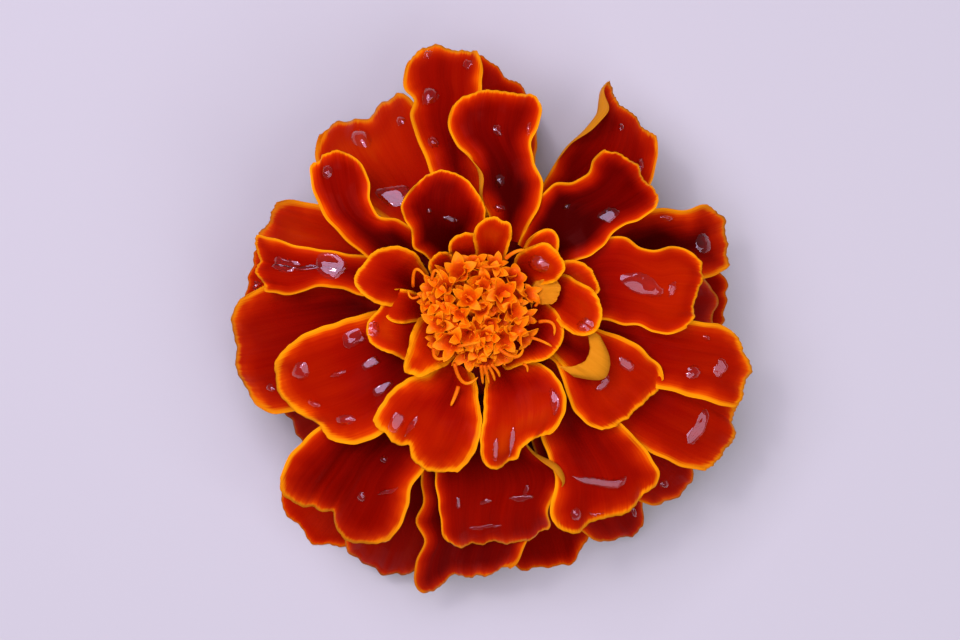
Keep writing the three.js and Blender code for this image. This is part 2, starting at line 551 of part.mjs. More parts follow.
// The petal's two faces, split into triangles alike, and the rim that joins them
function petalGeometry(petal) {
  const [rows, columns] = petalGrid(petal);
  const upper = [];
  const lower = [];
  for (let row = 0; row <= rows; row += 1) {
    for (let column = 0; column <= columns; column += 1) {
      const across = -1 + 2 * column / columns;
      const along = row / rows;
      const middle = petalPoint(petal, across, along);
      const normal = petalNormal(petal, across, along);
      upper.push(middle.clone().addScaledVector(normal, PETAL_THICKNESS / 2));
      lower.push(middle.clone().addScaledVector(normal, -PETAL_THICKNESS / 2));
    }
  }
  const count = upper.length;
  const at = (row, column) => row * (columns + 1) + column;
  const triangles = [];
  for (let row = 0; row < rows; row += 1) {
    for (let column = 0; column < columns; column += 1) {
      const a = at(row, column);
      const b = at(row + 1, column);
      const c = at(row, column + 1);
      const d = at(row + 1, column + 1);
      triangles.push([a, b, c], [b, d, c]);
      triangles.push([a + count, c + count, b + count], [b + count, c + count, d + count]);
    }
  }
  const border = [];
  for (let row = 0; row < rows; row += 1) {
    border.push([at(row + 1, 0), at(row, 0)], [at(row, columns), at(row + 1, columns)]);
  }
  for (let column = 0; column < columns; column += 1) {
    border.push([at(0, column), at(0, column + 1)], [at(rows, column + 1), at(rows, column)]);
  }
  for (const [from, to] of border) {
    triangles.push([from, to, to + count], [from, to + count, from + count]);
  }
  return closedGeometry([...upper, ...lower], triangles);
}

// A skin over rings of points of equal count, from the lowest to the highest, closed at both ends
function ringGeometry(rings) {
  const sides = rings[0].length;
  const points = rings.flat();
  const centre = (ring) => ring.reduce((sum, p) => sum.add(p), new THREE.Vector3()).divideScalar(sides);
  points.push(centre(rings[0]), centre(rings[rings.length - 1]));
  const first = points.length - 2;
  const last = points.length - 1;
  const top = (rings.length - 1) * sides;
  const triangles = [];
  for (let side = 0; side < sides; side += 1) {
    const next = (side + 1) % sides;
    for (let ring = 0; ring < rings.length - 1; ring += 1) {
      const a = ring * sides + side;
      const b = ring * sides + next;
      triangles.push([a, b, b + sides], [a, b + sides, a + sides]);
    }
    triangles.push([first, next, side], [last, top + side, top + next]);
  }
  return closedGeometry(points, triangles);
}

function latheGeometry(profile, sides) {
  const outline = profile.map(([radius, height]) => new THREE.Vector2(radius, height));
  const geometry = new THREE.LatheGeometry(outline, sides);
  geometry.rotateX(Math.PI / 2);
  return geometry;
}

function toSolid(geometry) {
  const bare = geometry.clone();
  bare.deleteAttribute('normal');
  bare.deleteAttribute('uv');
  const merged = mergeVertices(bare, SAME_PLACE);
  return new wasm.Manifold(new wasm.Mesh({
    numProp: 3,
    vertProperties: new Float32Array(merged.attributes.position.array),
    triVerts: new Uint32Array(merged.index.array),
  }));
}

// The outer skin of the largest body: loose scraps are dropped, sealed hollows are filled, and
// corners closer together than LEAST_EDGE become one
function largestBody(solid) {
  const bodies = solid.simplify(LEAST_EDGE).decompose();
  bodies.sort((one, other) => other.volume() - one.volume());
  return bodies[0];
}

// Corners in the same place become one, and triangles that this leaves without an area go
function toGeometry(solid) {
  const { vertProperties, triVerts } = solid.getMesh();
  const geometry = new THREE.BufferGeometry();
  geometry.setAttribute('position', new THREE.BufferAttribute(new Float32Array(vertProperties), 3));
  geometry.setIndex(new THREE.BufferAttribute(new Uint32Array(triVerts), 1));
  const merged = mergeVertices(geometry, SAME_PLACE);
  const corners = Array.from(merged.index.array);
  const kept = [];
  for (let first = 0; first < corners.length; first += 3) {
    const triangle = corners.slice(first, first + 3);
    if (new Set(triangle).size === 3) {
      kept.push(...triangle);
    }
  }
  merged.setIndex(kept);
  merged.computeVertexNormals();
  return merged;
}

function joined(solids) {
  return solids.reduce((whole, solid) => whole.add(solid));
}

function cylinderSolid(radius, bottom, top, sides) {
  return toSolid(latheGeometry([[0, bottom], [radius, bottom], [radius, top], [0, top]], sides));
}

function makePetals() {
  const petals = PETALS.map(petalShape).map((petal) => toSolid(petalGeometry(petal)));
  const core = toSolid(latheGeometry(CORE_PROFILE, CORE_SIDES));
  const discSpace = cylinderSolid(DISC_RADIUS + GAP, CORE_TOP, CLEAR_HEIGHT, CORE_SIDES);
  const calyxSpace = cylinderSolid(CALYX_RIM + 2 * GAP, 0, CORE_BOTTOM, CORE_SIDES);
  const slab = new THREE.BoxGeometry(CLEAR_WIDTH, CLEAR_WIDTH, CLEAR_HEIGHT);
  const below = toSolid(slab.translate(0, 0, -CLEAR_HEIGHT / 2));
  const spaces = joined([discSpace.translate([DISC_X, 0, 0]), calyxSpace, below]);
  return largestBody(joined([core, ...petals]).subtract(spaces));
}

// Evenly mixed numbers from 0 to 1, the same each time
function makeRandom(seed) {
  let state = seed;
  return () => {
    state = (state * 16807) % 2147483647;
    return state / 2147483647;
  };
}

// A ring round the floret's own axis: a five-pointed star where depth is above 0
function starRing(radius, depth, height) {
  const ring = [];
  for (let corner = 0; corner < 10; corner += 1) {
    const angle = Math.PI / 5 * corner;
    const reach = corner % 2 === 0 ? radius : radius * (1 - depth);
    ring.push(new THREE.Vector3(reach * Math.cos(angle), reach * Math.sin(angle), height));
  }
  return ring;
}

function openFloret(length, radius) {
  return ringGeometry([
    starRing(FLORET_THROAT, 0, -FLORET_ROOT),
    starRing(FLORET_THROAT, 0, 0.55 * length),
    starRing(radius, 1 - STAR_NOTCH, length + STAR_RISE),
    starRing(FLORET_THROAT * 0.6, 0, 0.62 * length),
  ]);
}

function closedFloret(length, radius) {
  return ringGeometry([
    starRing(FLORET_THROAT, 0, -FLORET_ROOT),
    starRing(radius, 0, 0.45 * length),
    starRing(radius * 0.85, 0, 0.8 * length),
    starRing(radius * 0.3, 0, length),
  ]);
}

function discHeight(distance) {
  return DISC_DOME_EDGE + DISC_DOME_RISE * (1 - (distance / DISC_DOME_RADIUS) ** 2);
}

// Each floret stands with its root in the dome and leans so that its star opens over its place
function makeDisc() {
  const random = makeRandom(SEED);
  const florets = FLORETS.map(([x, y, radius, direction, lean]) => {
    const length = FLORET_LENGTH * (0.9 + 0.2 * random()) * (lean === null ? BUD_LENGTH : 1);
    const geometry = lean === null ? closedFloret(length, radius) : openFloret(length, radius);
    const tilt = THREE.MathUtils.degToRad(lean ?? 0);
    const away = directionOf(direction).multiplyScalar(length * Math.sin(tilt));
    const foot = new THREE.Vector2(x - DISC_X, y).sub(away);
    geometry.rotateZ(2 * Math.PI * random());
    geometry.rotateY(tilt);
    geometry.rotateZ(THREE.MathUtils.degToRad(direction));
    geometry.translate(foot.x, foot.y, discHeight(Math.min(foot.length(), DISC_DOME_RADIUS)));
    return toSolid(geometry);
  });
  const dome = toSolid(latheGeometry(DISC_PROFILE, DISC_SIDES));
  const space = cylinderSolid(DISC_RADIUS, CORE_TOP, CLEAR_HEIGHT, CORE_SIDES);
  return largestBody(joined([dome, ...florets]).intersect(space)).translate([DISC_X, 0, 0]);
}

// Height of a row of teeth at an angle: 1 at the points, 0 in the notches
function toothHeight(angle) {
  const turn = angle / (2 * Math.PI) * CALYX_TEETH;
  return 1 - 2 * Math.abs(turn - Math.round(turn));
}

function makeCalyx() {
  const sides = CALYX_TEETH * CALYX_STEPS_PER_TOOTH;
  const angles = Array.from({ length: sides }, (_, side) => 2 * Math.PI * side / sides);
  const ring = (radiusAt, heightAt) => angles.map((angle) => new THREE.Vector3(
    radiusAt(angle) * Math.cos(angle),
    radiusAt(angle) * Math.sin(angle),
    heightAt(angle),
  ));
  const rings = CALYX_PROFILE.map(([radius, height]) => {
    const rib = CALYX_RIB * THREE.MathUtils.smoothstep(height, CALYX_RIB_START, CALYX_RIB_FULL);
    return ring((angle) => radius + rib * (toothHeight(angle) - 0.5), () => height);
  });
  const rimHeight = (angle) => CALYX_TOP - CALYX_TOOTH_HEIGHT * (1 - toothHeight(angle));
  rings.push(ring((angle) => CALYX_RIM - CALYX_NOTCH_INSET * (1 - toothHeight(angle)), rimHeight));
  rings.push(ring(() => CALYX_RIM - CALYX_WALL, rimHeight));
  rings.push(ring(() => CALYX_FLOOR_RADIUS, (angle) => Math.min(CALYX_FLOOR, rimHeight(angle))));
  rings.push(ring(() => CALYX_FLOOR_MIDDLE, () => CALYX_FLOOR));
  return toSolid(ringGeometry(rings));
}

function addNode(parent, name, solid, colour, roughness) {
  const material = new THREE.MeshStandardMaterial({ color: colour, roughness, metalness: 0 });
  const mesh = new THREE.Mesh(toGeometry(solid), material);
  mesh.name = name;
  parent.add(mesh);
}

const flower = new THREE.Group();
flower.position.set(AXIS_X, AXIS_Y, 0);
addNode(flower, 'ray_petals', makePetals(), COLOURS.petal, 0.45);
addNode(flower, 'disc_florets', makeDisc(), COLOURS.floret, 0.6);
addNode(flower, 'calyx_and_stalk', makeCalyx(), COLOURS.calyx, 0.6);

const marigold = new THREE.Group();
marigold.add(flower);

export default marigold;
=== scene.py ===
"""The looks of a picked French marigold head that lies face up on the tips of its lowest petals."""

import bpy
import numpy as np
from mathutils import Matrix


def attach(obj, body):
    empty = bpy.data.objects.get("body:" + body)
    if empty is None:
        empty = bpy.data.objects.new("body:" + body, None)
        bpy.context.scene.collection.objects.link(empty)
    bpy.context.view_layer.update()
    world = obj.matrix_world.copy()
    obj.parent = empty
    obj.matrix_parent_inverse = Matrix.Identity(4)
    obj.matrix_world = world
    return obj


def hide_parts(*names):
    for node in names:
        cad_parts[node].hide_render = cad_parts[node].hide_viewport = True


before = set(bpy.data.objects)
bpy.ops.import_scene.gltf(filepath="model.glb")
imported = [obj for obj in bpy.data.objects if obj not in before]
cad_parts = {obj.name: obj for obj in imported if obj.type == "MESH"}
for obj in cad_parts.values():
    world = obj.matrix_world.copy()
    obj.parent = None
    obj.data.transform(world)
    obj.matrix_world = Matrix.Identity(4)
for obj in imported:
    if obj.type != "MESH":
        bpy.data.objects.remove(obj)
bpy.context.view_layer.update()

# Lengths below are millimetres, and angles are degrees, counter-clockwise from +X seen from above.
MM = 0.001
# The flower's axis, from the middle of the head's footprint
AXIS = np.array([-1.063, 1.104, 0.0])

# The camera: its lens and sensor, its height, and where it looks straight down
LENS = 100.0
SENSOR = 36.0
CAMERA_PLACE = (-1.063, 0.294, 295.0)
CLIP_START = 10
# The soft boxes: name, place, size, power and tint
LIGHTS = [
    ("soft_box_left", (-110, 105, 420), 380, 2.25, "#e6d2ff"),
    ("lamp_left", (-150, 130, 420), 60, 0.25, "#f6e6ff"),
    ("soft_box_right", (160, -150, 330), 320, 0.75, "#ece0ff"),
]
LIGHT_AIM = (0.0, 0.0, 15.0)
SKY_TINT = "#e9e4f2"
SKY_STRENGTH = 0.2
FLOOR_SIZE = 4000

PETAL_THICKNESS = 0.3
MARGIN_THICKNESS = 0.06
MARGIN_WIDTH = 1.5
NORMAL_STEP = 0.01
LARGE_REACH = 14
LARGE_GRID = (60, 72)
SMALL_GRID = (42, 48)
ROLLED_COLUMNS = 80
# Radius that a roll tapers off to along the petal
LEAST_ROLL = 0.01
# Share of the rib's length that the points of a fold span, as its corners reach past the tip
FOLD_REACH = 1.15
# How much nearer to the base a folded petal's sides lie than its middle, as a share
FOLD_ROUNDING = 0.3
# The random waves of a petal: what is added to its number for its seed, the span of the phases in
# radians, the nicks in its margin (least and most radians over its half width, and depth as a share
# of its reach) and how many creases it has
FIRST_PETAL_SEED = 100
PHASES = 6.3
NICKS = [(4, 7, 0.0045), (15, 22, 0.0018), (36, 50, 0.0018)]
CREASES = 5
# How far the ruffles of the left and right side are out of step with the rib, in radians
RUFFLE_SHIFT = 1.5

# The petals, one row each, from the lowest whorl to the crest round the disc: name, direction of
# the tip, reach of the tip, half width on the left and right as seen from the axis, height of the
# base and of the tip, rise of the arch between them, how bright its red is (its own tone, and painted
# shade on the petals that stand in the others' shade), and what sets it apart:
# - hem: the width of its orange hem. turned: whether it shows its underside.
# - base and start: direction and distance of its base from the axis. claw: how wide it is there.
# - corner: share of its length at which its corners stand. spread: the share at which it is widest.
# - cup, pleats, ruffle (height, turns, phase), and creases (place across, width, depth, drift).
# - rolls: side, place along, length, radius and angle in radians. fold: the points of its rib.
# Where a petal shows, its outline is given as seen from above, in mm from the axis: the right side
# outwards from its claw, the end from its right corner to its left one, and the left side outwards.
PETALS = [
    ("lowest_1", 86, 26.4, 4.6, 4.6, 14.6, -6, 6, 0.3, dict(base=76, outline=(
        [(4.2, 10.0), (5.9, 16.5), (6.0, 20.5)],
        [(5.6, 22.8), (4.6, 24.7), (2.6, 26.5), (0.9, 27.9), (-0.8, 28.5), (-2.4, 28.0)],
        [(-2.4, 10.0), (-3.6, 18.0), (-3.6, 24.0)]))),
    ("lowest_2", 5, 27.4, 5.0, 5.0, 14.0, -6, 5, 0.2, dict(corner=0.8)),
    ("lowest_3", 172, 26.0, 4.8, 4.8, 14.2, -6, 5.2, 0.6, dict(corner=0.8)),
    ("lowest_4", 232, 31.2, 5.0, 5.4, 14.2, -6, 5, 0.5, dict(corner=0.85, ruffle=(0.4, 1.6, 1))),
    ("lowest_5", 248, 30.5, 5.0, 4.8, 14.8, 3.0, 4, 0.35, dict(corner=0.8)),
    ("lowest_6", 287, 29.4, 4.8, 5.0, 14.0, -6, 5, 0.2, dict(corner=0.82)),
    ("lowest_7", 304, 29.5, 4.2, 4.4, 14.8, 3.2, 4, 0.25, dict(corner=0.7)),
    ("lowest_8", 319, 29.5, 4.5, 4.6, 15.4, 5.4, 4, 0.3, dict(corner=0.7)),
    ("lowest_9", 213, 24.2, 4.4, 4.4, 14.2, 1.6, 3, 0.5, dict(corner=0.8)),

    ("second_1", 99, 28.6, 4.3, 4.6, 16.8, 11.8, 3.2, 0.32, dict(hem=1.44, base=95, claw=0.4, outline=(
        [(0.6, 12.0), (-0.1, 18.0), (0.3, 23.6)],
        [(0.4, 25.6), (-0.6, 27.4), (-2.0, 27.9), (-4.3, 28.2), (-6.4, 27.8), (-7.6, 26.6)],
        [(-3.8, 11.0), (-6.0, 17.0), (-7.2, 20.4), (-7.0, 22.0), (-7.9, 23.2), (-8.1, 24.9)]))),
    ("second_2", 121, 24.6, 5.8, 5.7, 15.8, 9.0, 3.2, 0.68, dict(hem=1.76, outline=(
        [(-2.5, 10.5), (-4.6, 17.0), (-6.0, 20.6)],
        [(-7.3, 22.5), (-8.3, 23.0), (-9.9, 22.7), (-11.1, 21.9), (-12.0, 20.9), (-13.0, 20.6),
         (-14.7, 20.5), (-16.1, 19.9), (-17.1, 18.8)],
        [(-8.6, 8.6), (-13.5, 12.0), (-16.7, 15.0), (-17.6, 17.0)]))),
    ("second_3", 52, 26.4, 4.9, 5.0, 15.8, 10.0, 3, 0.24, dict(
        rolls=[(1, 0.78, 0.15, 1.1, 2.9)], outline=(
            [(8.6, 6.5), (14.5, 9.5), (17.8, 13.0), (18.5, 15.4)],
            [(18.6, 17.3), (18.3, 18.7), (17.5, 20.0), (16.3, 21.2), (15.1, 21.9), (14.5, 22.6),
             (14.6, 23.5), (14.3, 24.2), (13.7, 24.5)],
            [(4.4, 9.5), (7.0, 14.2), (8.8, 17.0), (10.9, 18.9), (12.1, 20.6), (12.5, 22.3), (12.9, 23.8)]))),
    ("second_4", 16, 27.5, 5.0, 4.8, 16.0, 9.4, 3.2, -0.28, dict(
        hem=1.6, pleats=0.05, ruffle=(0.1, 1.6, 0), outline=(
            [(9.5, -0.5), (16.0, 1.2), (22.0, 3.0)],
            [(25.2, 4.2), (26.1, 4.8), (26.5, 6.3), (26.5, 8.0), (25.9, 10.1), (24.8, 11.0), (23.6, 11.3)],
            [(7.5, 6.5), (13.0, 9.4), (18.8, 10.8), (21.6, 10.8)]))),
    ("second_5", 1, 25.6, 5.0, 5.0, 15.2, 5.6, 4, 0.3, dict(corner=0.7)),
    ("second_6", 159, 24.8, 5.0, 4.4, 15.2, 7.6, 3.2, 0.75, dict(hem=1.92, outline=(
        [(-9.0, 8.0), (-14.5, 10.8), (-18.8, 11.6)],
        [(-20.8, 11.6), (-22.2, 11.0), (-23.1, 9.7), (-23.5, 7.8), (-23.3, 5.6)],
        [(-10.0, 1.5), (-16.0, 2.2), (-21.5, 3.6)]))),
    ("second_7", 190.5, 26.7, 6.6, 5.4, 16.0, 8.7, 3.2, 0.36, dict(hem=1.92, outline=(
        [(-11.0, 3.8), (-17.0, 4.2), (-21.5, 3.2)],
        [(-24.3, 2.1), (-25.7, 1.0), (-26.3, -0.7), (-26.5, -2.7), (-26.1, -5.3), (-25.5, -7.3),
         (-24.5, -9.1), (-23.2, -10.3)],
        [(-10.0, -6.5), (-16.0, -9.4), (-20.4, -10.5), (-21.9, -10.7)]))),
    ("second_8", 266.5, 29.6, 5.8, 5.8, 15.8, 6.0, 4, 0.05, dict(hem=0.9, outline=(
        [(-5.2, -12.0), (-6.1, -17.5), (-5.9, -19.9), (-6.6, -21.7), (-5.9, -23.9), (-6.9, -26.3),
         (-7.1, -27.8)],
        [(-6.1, -29.7), (-4.8, -29.5), (-3.5, -28.8), (-1.9, -28.7), (-0.1, -28.3), (1.6, -27.8),
         (3.4, -27.0)],
        [(4.0, -12.0), (5.4, -19.0), (5.0, -24.0)]))),

    ("third_1", 167, 24.3, 2.9, 3.1, 17.4, 14.5, 2.2, 0.4, dict(hem=1.04, claw=0.45, outline=(
        [(-9.5, 5.4), (-13.8, 6.2), (-18.5, 6.9), (-21.5, 7.6)],
        [(-22.9, 7.8), (-23.4, 6.7), (-23.3, 5.6), (-23.4, 4.4), (-22.9, 3.1), (-22.2, 2.3)],
        [(-9.5, 1.2), (-12.6, 1.7), (-14.8, 2.4), (-16.6, 2.5), (-19.2, 1.7), (-20.8, 2.0)]))),
    ("third_2", 233, 28.4, 6.3, 6.3, 16.8, 11.4, 3.2, 0.2, dict(hem=1.6,
        creases=[(-0.4, 0.09, 0.9, 0.1), (-0.08, 0.1, 0.9, 0.05), (0.5, 0.2, 0.2, 0.1)], outline=(
            [(-9.5, -7.0), (-14.5, -10.0), (-18.1, -12.9), (-20.0, -14.9)],
            [(-20.7, -16.8), (-20.7, -18.4), (-19.9, -19.8), (-18.4, -21.0), (-17.2, -21.4),
             (-16.0, -21.7), (-15.5, -22.5), (-14.2, -23.7), (-12.8, -24.5), (-11.5, -24.8),
             (-10.4, -24.4), (-9.3, -23.7)],
            [(-2.5, -10.5), (-5.4, -16.0), (-6.9, -18.2), (-7.2, -20.0), (-8.2, -22.4)]))),
    ("third_3", 275.5, 24.9, 7.6, 6.1, 17.2, 11.6, 3.2, 0.28, dict(hem=0.8,
        rolls=[(1, 0.6, 0.11, 0.8, 2.8)], outline=(
            [(-3.4, -11.0), (-4.6, -17.0), (-4.3, -21.2)],
            [(-3.8, -23.4), (-2.6, -24.3), (-0.4, -24.6), (2.1, -24.5), (4.6, -24.1), (6.4, -23.5),
             (7.3, -22.7)],
            [(3.6, -11.0), (5.4, -14.2), (8.2, -15.6), (8.75, -16.9), (8.0, -18.5), (7.2, -20.3)]))),
    ("third_4", 305, 26.6, 5.4, 5.5, 17.4, 13.8, 2.4, 0.32, dict(hem=1.6, outline=(
        [(4.6, -9.5), (6.8, -14.5), (7.7, -18.0), (7.2, -20.0)],
        [(7.5, -21.5), (8.5, -22.6), (9.9, -23.0), (11.1, -22.8), (12.1, -22.1), (14.9, -21.1),
         (16.4, -20.3), (17.6, -19.0), (18.4, -17.9)],
        [(9.5, -5.5), (13.0, -9.5), (15.1, -11.8), (16.7, -13.3), (17.9, -15.1), (18.6, -16.6)]))),
    ("third_5", 347, 28.9, 4.9, 4.4, 17.6, 13.2, 3, 0.5, dict(hem=1.76, outline=(
        [(11.0, -5.0), (17.0, -7.6), (23.0, -9.0), (25.0, -9.6)],
        [(26.5, -9.8), (27.4, -8.7), (28.3, -7.4), (28.6, -6.2), (28.2, -4.8), (27.5, -3.2),
         (26.4, -2.0)],
        [(11.0, 0.8), (17.0, 0.0), (22.4, -1.0), (24.7, -1.3)]))),
    ("third_6", 331.5, 30.3, 5.0, 4.6, 16.6, 10.2, 3.2, 0.46, dict(hem=1.6, outline=(
        [(10.5, -8.5), (15.0, -13.0), (18.6, -15.0), (21.2, -16.1)],
        [(23.2, -16.3), (24.9, -16.0), (26.2, -15.0), (26.8, -13.6), (27.1, -11.9), (26.8, -10.0)],
        [(12.0, -2.5), (19.0, -5.6), (24.6, -8.0)]))),

    ("fourth_1", 86, 22.9, 4.9, 4.8, 18.6, 20.5, 2, 0.12, dict(hem=1.12,
        base=62, claw=0.4, rolls=[(1, 0.52, 0.1, 0.55, 2.9)], outline=(
            [(4.5, 8.0), (5.9, 10.8), (6.5, 13.3), (5.6, 15.6), (5.3, 17.2), (6.0, 18.9)],
            [(6.4, 20.5), (5.7, 21.9), (4.5, 22.5), (2.7, 22.8), (1.1, 22.7), (-0.7, 22.6), (-2.0, 22.1),
             (-2.8, 21.2)],
            [(1.2, 9.0), (0.0, 12.0), (-0.1, 14.2), (-1.0, 15.7), (-2.4, 17.0), (-3.2, 18.6)]))),
    ("fourth_2", 43, 21.6, 5.0, 4.9, 18.8, 19.4, 2, 0.0, dict(hem=0.88, outline=(
        [(8.4, 4.8), (12.4, 6.6), (14.2, 8.6), (16.5, 9.4)],
        [(17.8, 10.4), (18.2, 12.0), (17.6, 13.1), (16.9, 14.2), (16.1, 15.2), (15.0, 15.9),
         (13.9, 16.6), (12.9, 16.8)],
        [(4.2, 7.6), (6.2, 11.6), (7.6, 13.1), (9.6, 13.3), (10.9, 14.2), (11.5, 15.7)]))),
    ("fourth_3", 7.5, 23.2, 4.8, 4.8, 18.6, 17.6, 2, 0.62, dict(hem=0.96, outline=(
        [(8.5, -1.2), (12.6, -0.8), (14.8, -1.3), (16.4, -1.3), (17.8, -2.0), (19.2, -2.3)],
        [(20.8, -1.8), (22.2, -0.2), (22.2, 0.9), (22.7, 2.1), (23.1, 3.3), (23.0, 4.8), (22.2, 6.1)],
        [(7.0, 4.6), (10.5, 6.6), (12.0, 7.5), (14.9, 7.6), (16.5, 6.5), (17.6, 6.2), (19.6, 6.8)]))),
    ("fourth_4", 138, 22.9, 3.1, 3.0, 18.6, 19.5, 1.5, 0.22, dict(hem=0.96, claw=0.5, outline=(
        [(-5.6, 7.4), (-8.4, 9.4), (-10.5, 9.9), (-11.2, 11.4), (-11.3, 13.3)],
        [(-11.9, 14.9), (-13.0, 16.0), (-14.7, 16.7), (-15.8, 16.3), (-16.6, 15.7), (-17.4, 15.1)],
        [(-8.0, 3.4), (-12.2, 6.2), (-14.3, 8.1), (-15.9, 9.8), (-16.8, 11.6), (-17.4, 13.4)]))),
    ("fourth_5", 205, 22.2, 6.2, 6.2, 18.6, 16.5, 2.5, 0.52, dict(hem=2.08, outline=(
        [(-8.0, 0.6), (-11.9, -0.2), (-15.1, -1.0), (-17.6, -1.9)],
        [(-19.6, -3.2), (-21.0, -5.0), (-21.5, -6.8), (-21.0, -8.5), (-19.5, -9.9), (-17.7, -11.1),
         (-16.2, -12.6), (-14.8, -13.4)],
        [(-5.0, -7.6), (-8.2, -11.2), (-10.5, -12.9), (-12.8, -13.6)]))),

    ("crest_1", 108, 15.1, 4.3, 4.2, 20.0, 24.5, 0.8, 0.1, dict(hem=0.8,
        base=120, start=6.0, claw=0.45, outline=(
            [(-0.6, 7.4), (0.4, 9.6)],
            [(0.4, 10.8), (-0.1, 12.0), (-0.9, 13.0), (-2.6, 14.1), (-3.9, 14.5), (-4.9, 14.2),
             (-5.8, 13.5), (-6.8, 12.6)],
            [(-5.6, 5.8), (-6.9, 6.7), (-7.1, 8.5), (-7.7, 9.8), (-8.0, 10.9)]))),
    ("crest_2", 246, 16.6, 5.5, 5.2, 20.2, 20.5, 1.8, 0.6, dict(hem=1.92, start=5.8, outline=(
        [(-5.4, -6.4), (-7.2, -6.8), (-8.8, -7.7), (-9.9, -9.0)],
        [(-10.7, -10.8), (-10.3, -11.8), (-9.5, -12.5), (-9.0, -13.3), (-8.2, -13.9), (-7.3, -13.7),
         (-7.1, -14.4), (-6.5, -15.4), (-5.4, -16.3), (-4.0, -16.6), (-2.3, -16.2)],
        [(-0.4, -7.4), (-0.1, -9.4), (0.25, -11.4), (0.0, -13.0), (-0.8, -14.8)]))),
    ("crest_3", 290, 15.2, 5.0, 4.9, 20.2, 21.4, 1.5, 0.85, dict(hem=1.28, start=5.8, outline=(
        [(0.6, -8.0), (0.3, -11.0), (-0.1, -13.4)],
        [(0.1, -14.8), (0.7, -15.6), (1.4, -15.9), (2.9, -15.7), (3.8, -15.0), (4.3, -13.8),
         (5.2, -13.1), (6.4, -12.8), (7.4, -12.2)],
        [(6.2, -5.4), (7.8, -6.6), (8.7, -8.2), (8.8, -9.7), (8.3, -11.1)]))),
    ("crest_4", 331, 20.2, 4.7, 4.0, 19.0, 17.8, 1.8, 0.62, dict(hem=1.44, outline=(
        [(8.0, -5.6), (8.7, -7.6), (9.7, -10.0), (11.0, -11.5)],
        [(12.4, -12.1), (14.2, -11.5), (15.7, -10.7), (17.2, -9.2), (18.4, -8.0), (18.9, -6.9)],
        [(9.0, -1.0), (13.0, -2.0), (15.6, -3.1), (17.2, -4.4), (18.7, -5.7)]))),
    ("crest_5", 160, 13.0, 3.1, 3.2, 20.2, 24.5, 1.2, 0.45, dict(hem=1.36, start=6.2, claw=0.6, outline=(
        [(-7.2, 6.3), (-8.8, 6.7)],
        [(-9.9, 6.5), (-11.0, 5.9), (-11.8, 5.0), (-12.6, 3.9), (-12.7, 3.0), (-12.1, 2.0)],
        [(-8.0, 0.6), (-10.4, 0.9)]))),
    ("crest_6", 194, 11.6, 3.1, 2.6, 20.2, 23.5, 1, 0.85, dict(start=6.2, claw=0.7, outline=(
        [(-8.4, 1.2)],
        [(-9.9, 0.9), (-10.6, 0.0), (-11.4, -1.0), (-11.6, -2.0), (-11.1, -3.1), (-10.2, -3.8)],
        [(-7.4, -5.0), (-8.8, -4.4)]))),
    ("crest_7", 335, 12.2, 2.9, 2.0, 19.6, 23.4, 0.4, 0.5, dict(
        base=341.7, start=7.3, corner=1.12, claw=0.6, cup=0.5, fold=[
            (0.0, 19.6), (2.5, 20.2), (5.0, 20.8), (6.7, 21.7), (7.2, 22.7), (6.5, 23.6), (5.2, 23.9),
            (4.0, 23.7), (3.0, 23.3)])),
    ("crest_8", 2, 12.3, 3.3, 3.0, 20.2, 25.0, 1, 0.8, dict(hem=1.36, start=6.2, claw=0.35, outline=(
        [(7.6, -0.6), (8.6, -1.5)],
        [(9.7, -2.2), (10.8, -2.4), (11.7, -2.0), (12.2, -1.0), (12.4, 0.2), (12.1, 1.3), (11.4, 2.2)],
        [(6.6, 3.0), (7.5, 4.0), (8.6, 4.0), (10.0, 3.2)]))),
    ("crest_9", 22, 12.3, 2.4, 2.2, 20.0, 22.4, 1, 0.9, dict(start=6.0, outline=(
        [(8.8, 0.8), (10.8, 1.0)],
        [(12.0, 1.9), (12.2, 2.6), (11.8, 3.6), (11.1, 4.6), (10.3, 5.2)],
        [(6.4, 4.2), (8.2, 5.1), (9.4, 5.4)]))),

    ("inner_1", 80, 9.7, 1.9, 1.9, 20.8, 25.8, 0.6, 0.92, dict(start=5.0, claw=0.8, outline=(
        [(2.9, 6.6)],
        [(3.2, 8.0), (3.1, 9.0), (2.2, 9.3), (1.2, 9.6), (0.2, 9.3), (-0.4, 8.7), (-0.6, 7.8)],
        [(-0.5, 6.2)]))),
    ("inner_2", 214, 9.3, 3.0, 3.6, 20.8, 24.6, 0.6, 1.2, dict(hem=2.2, start=4.6, claw=0.8, outline=(
        [(-6.3, -0.6), (-7.0, -1.9), (-7.4, -3.7)],
        [(-7.8, -5.5), (-7.6, -6.1), (-7.1, -6.3), (-6.2, -6.6), (-5.4, -6.4)],
        [(-3.4, -5.4), (-4.6, -6.0)]))),
    ("inner_3", 37, 9.6, 2.4, 2.4, 20.8, 25.6, 1.2, 1.0, dict(start=5.6, claw=0.7, outline=(
        [(5.8, 2.9), (7.0, 3.0)],
        [(8.1, 3.5), (8.6, 4.4), (8.3, 5.4), (7.6, 6.4), (6.6, 7.0), (5.6, 6.8)],
        [(3.6, 5.6), (4.6, 6.4)]))),
    ("inner_4", 48, 11.2, 1.4, 2.2, 20.4, 24.0, 0.8, 0.9, dict(start=6.0, corner=0.4)),
    ("inner_5", 325, 8.9, 3.2, 3.2, 20.6, 22.8, 0.6, 0.1, dict(start=4.4, claw=0.8, outline=(
        [(2.2, -3.4), (1.9, -4.6)],
        [(2.9, -6.0), (4.1, -5.5), (5.1, -5.2), (6.5, -5.0), (7.9, -3.8), (8.6, -2.3), (8.3, -0.6)],
        [(4.2, 0.4), (5.6, 1.4), (7.2, 0.8)]))),
    ("inner_6", 128, 7.4, 1.5, 1.3, 20.6, 23.6, 0.6, 0.8, dict(start=5.4, spread=0.5, claw=0.8)),
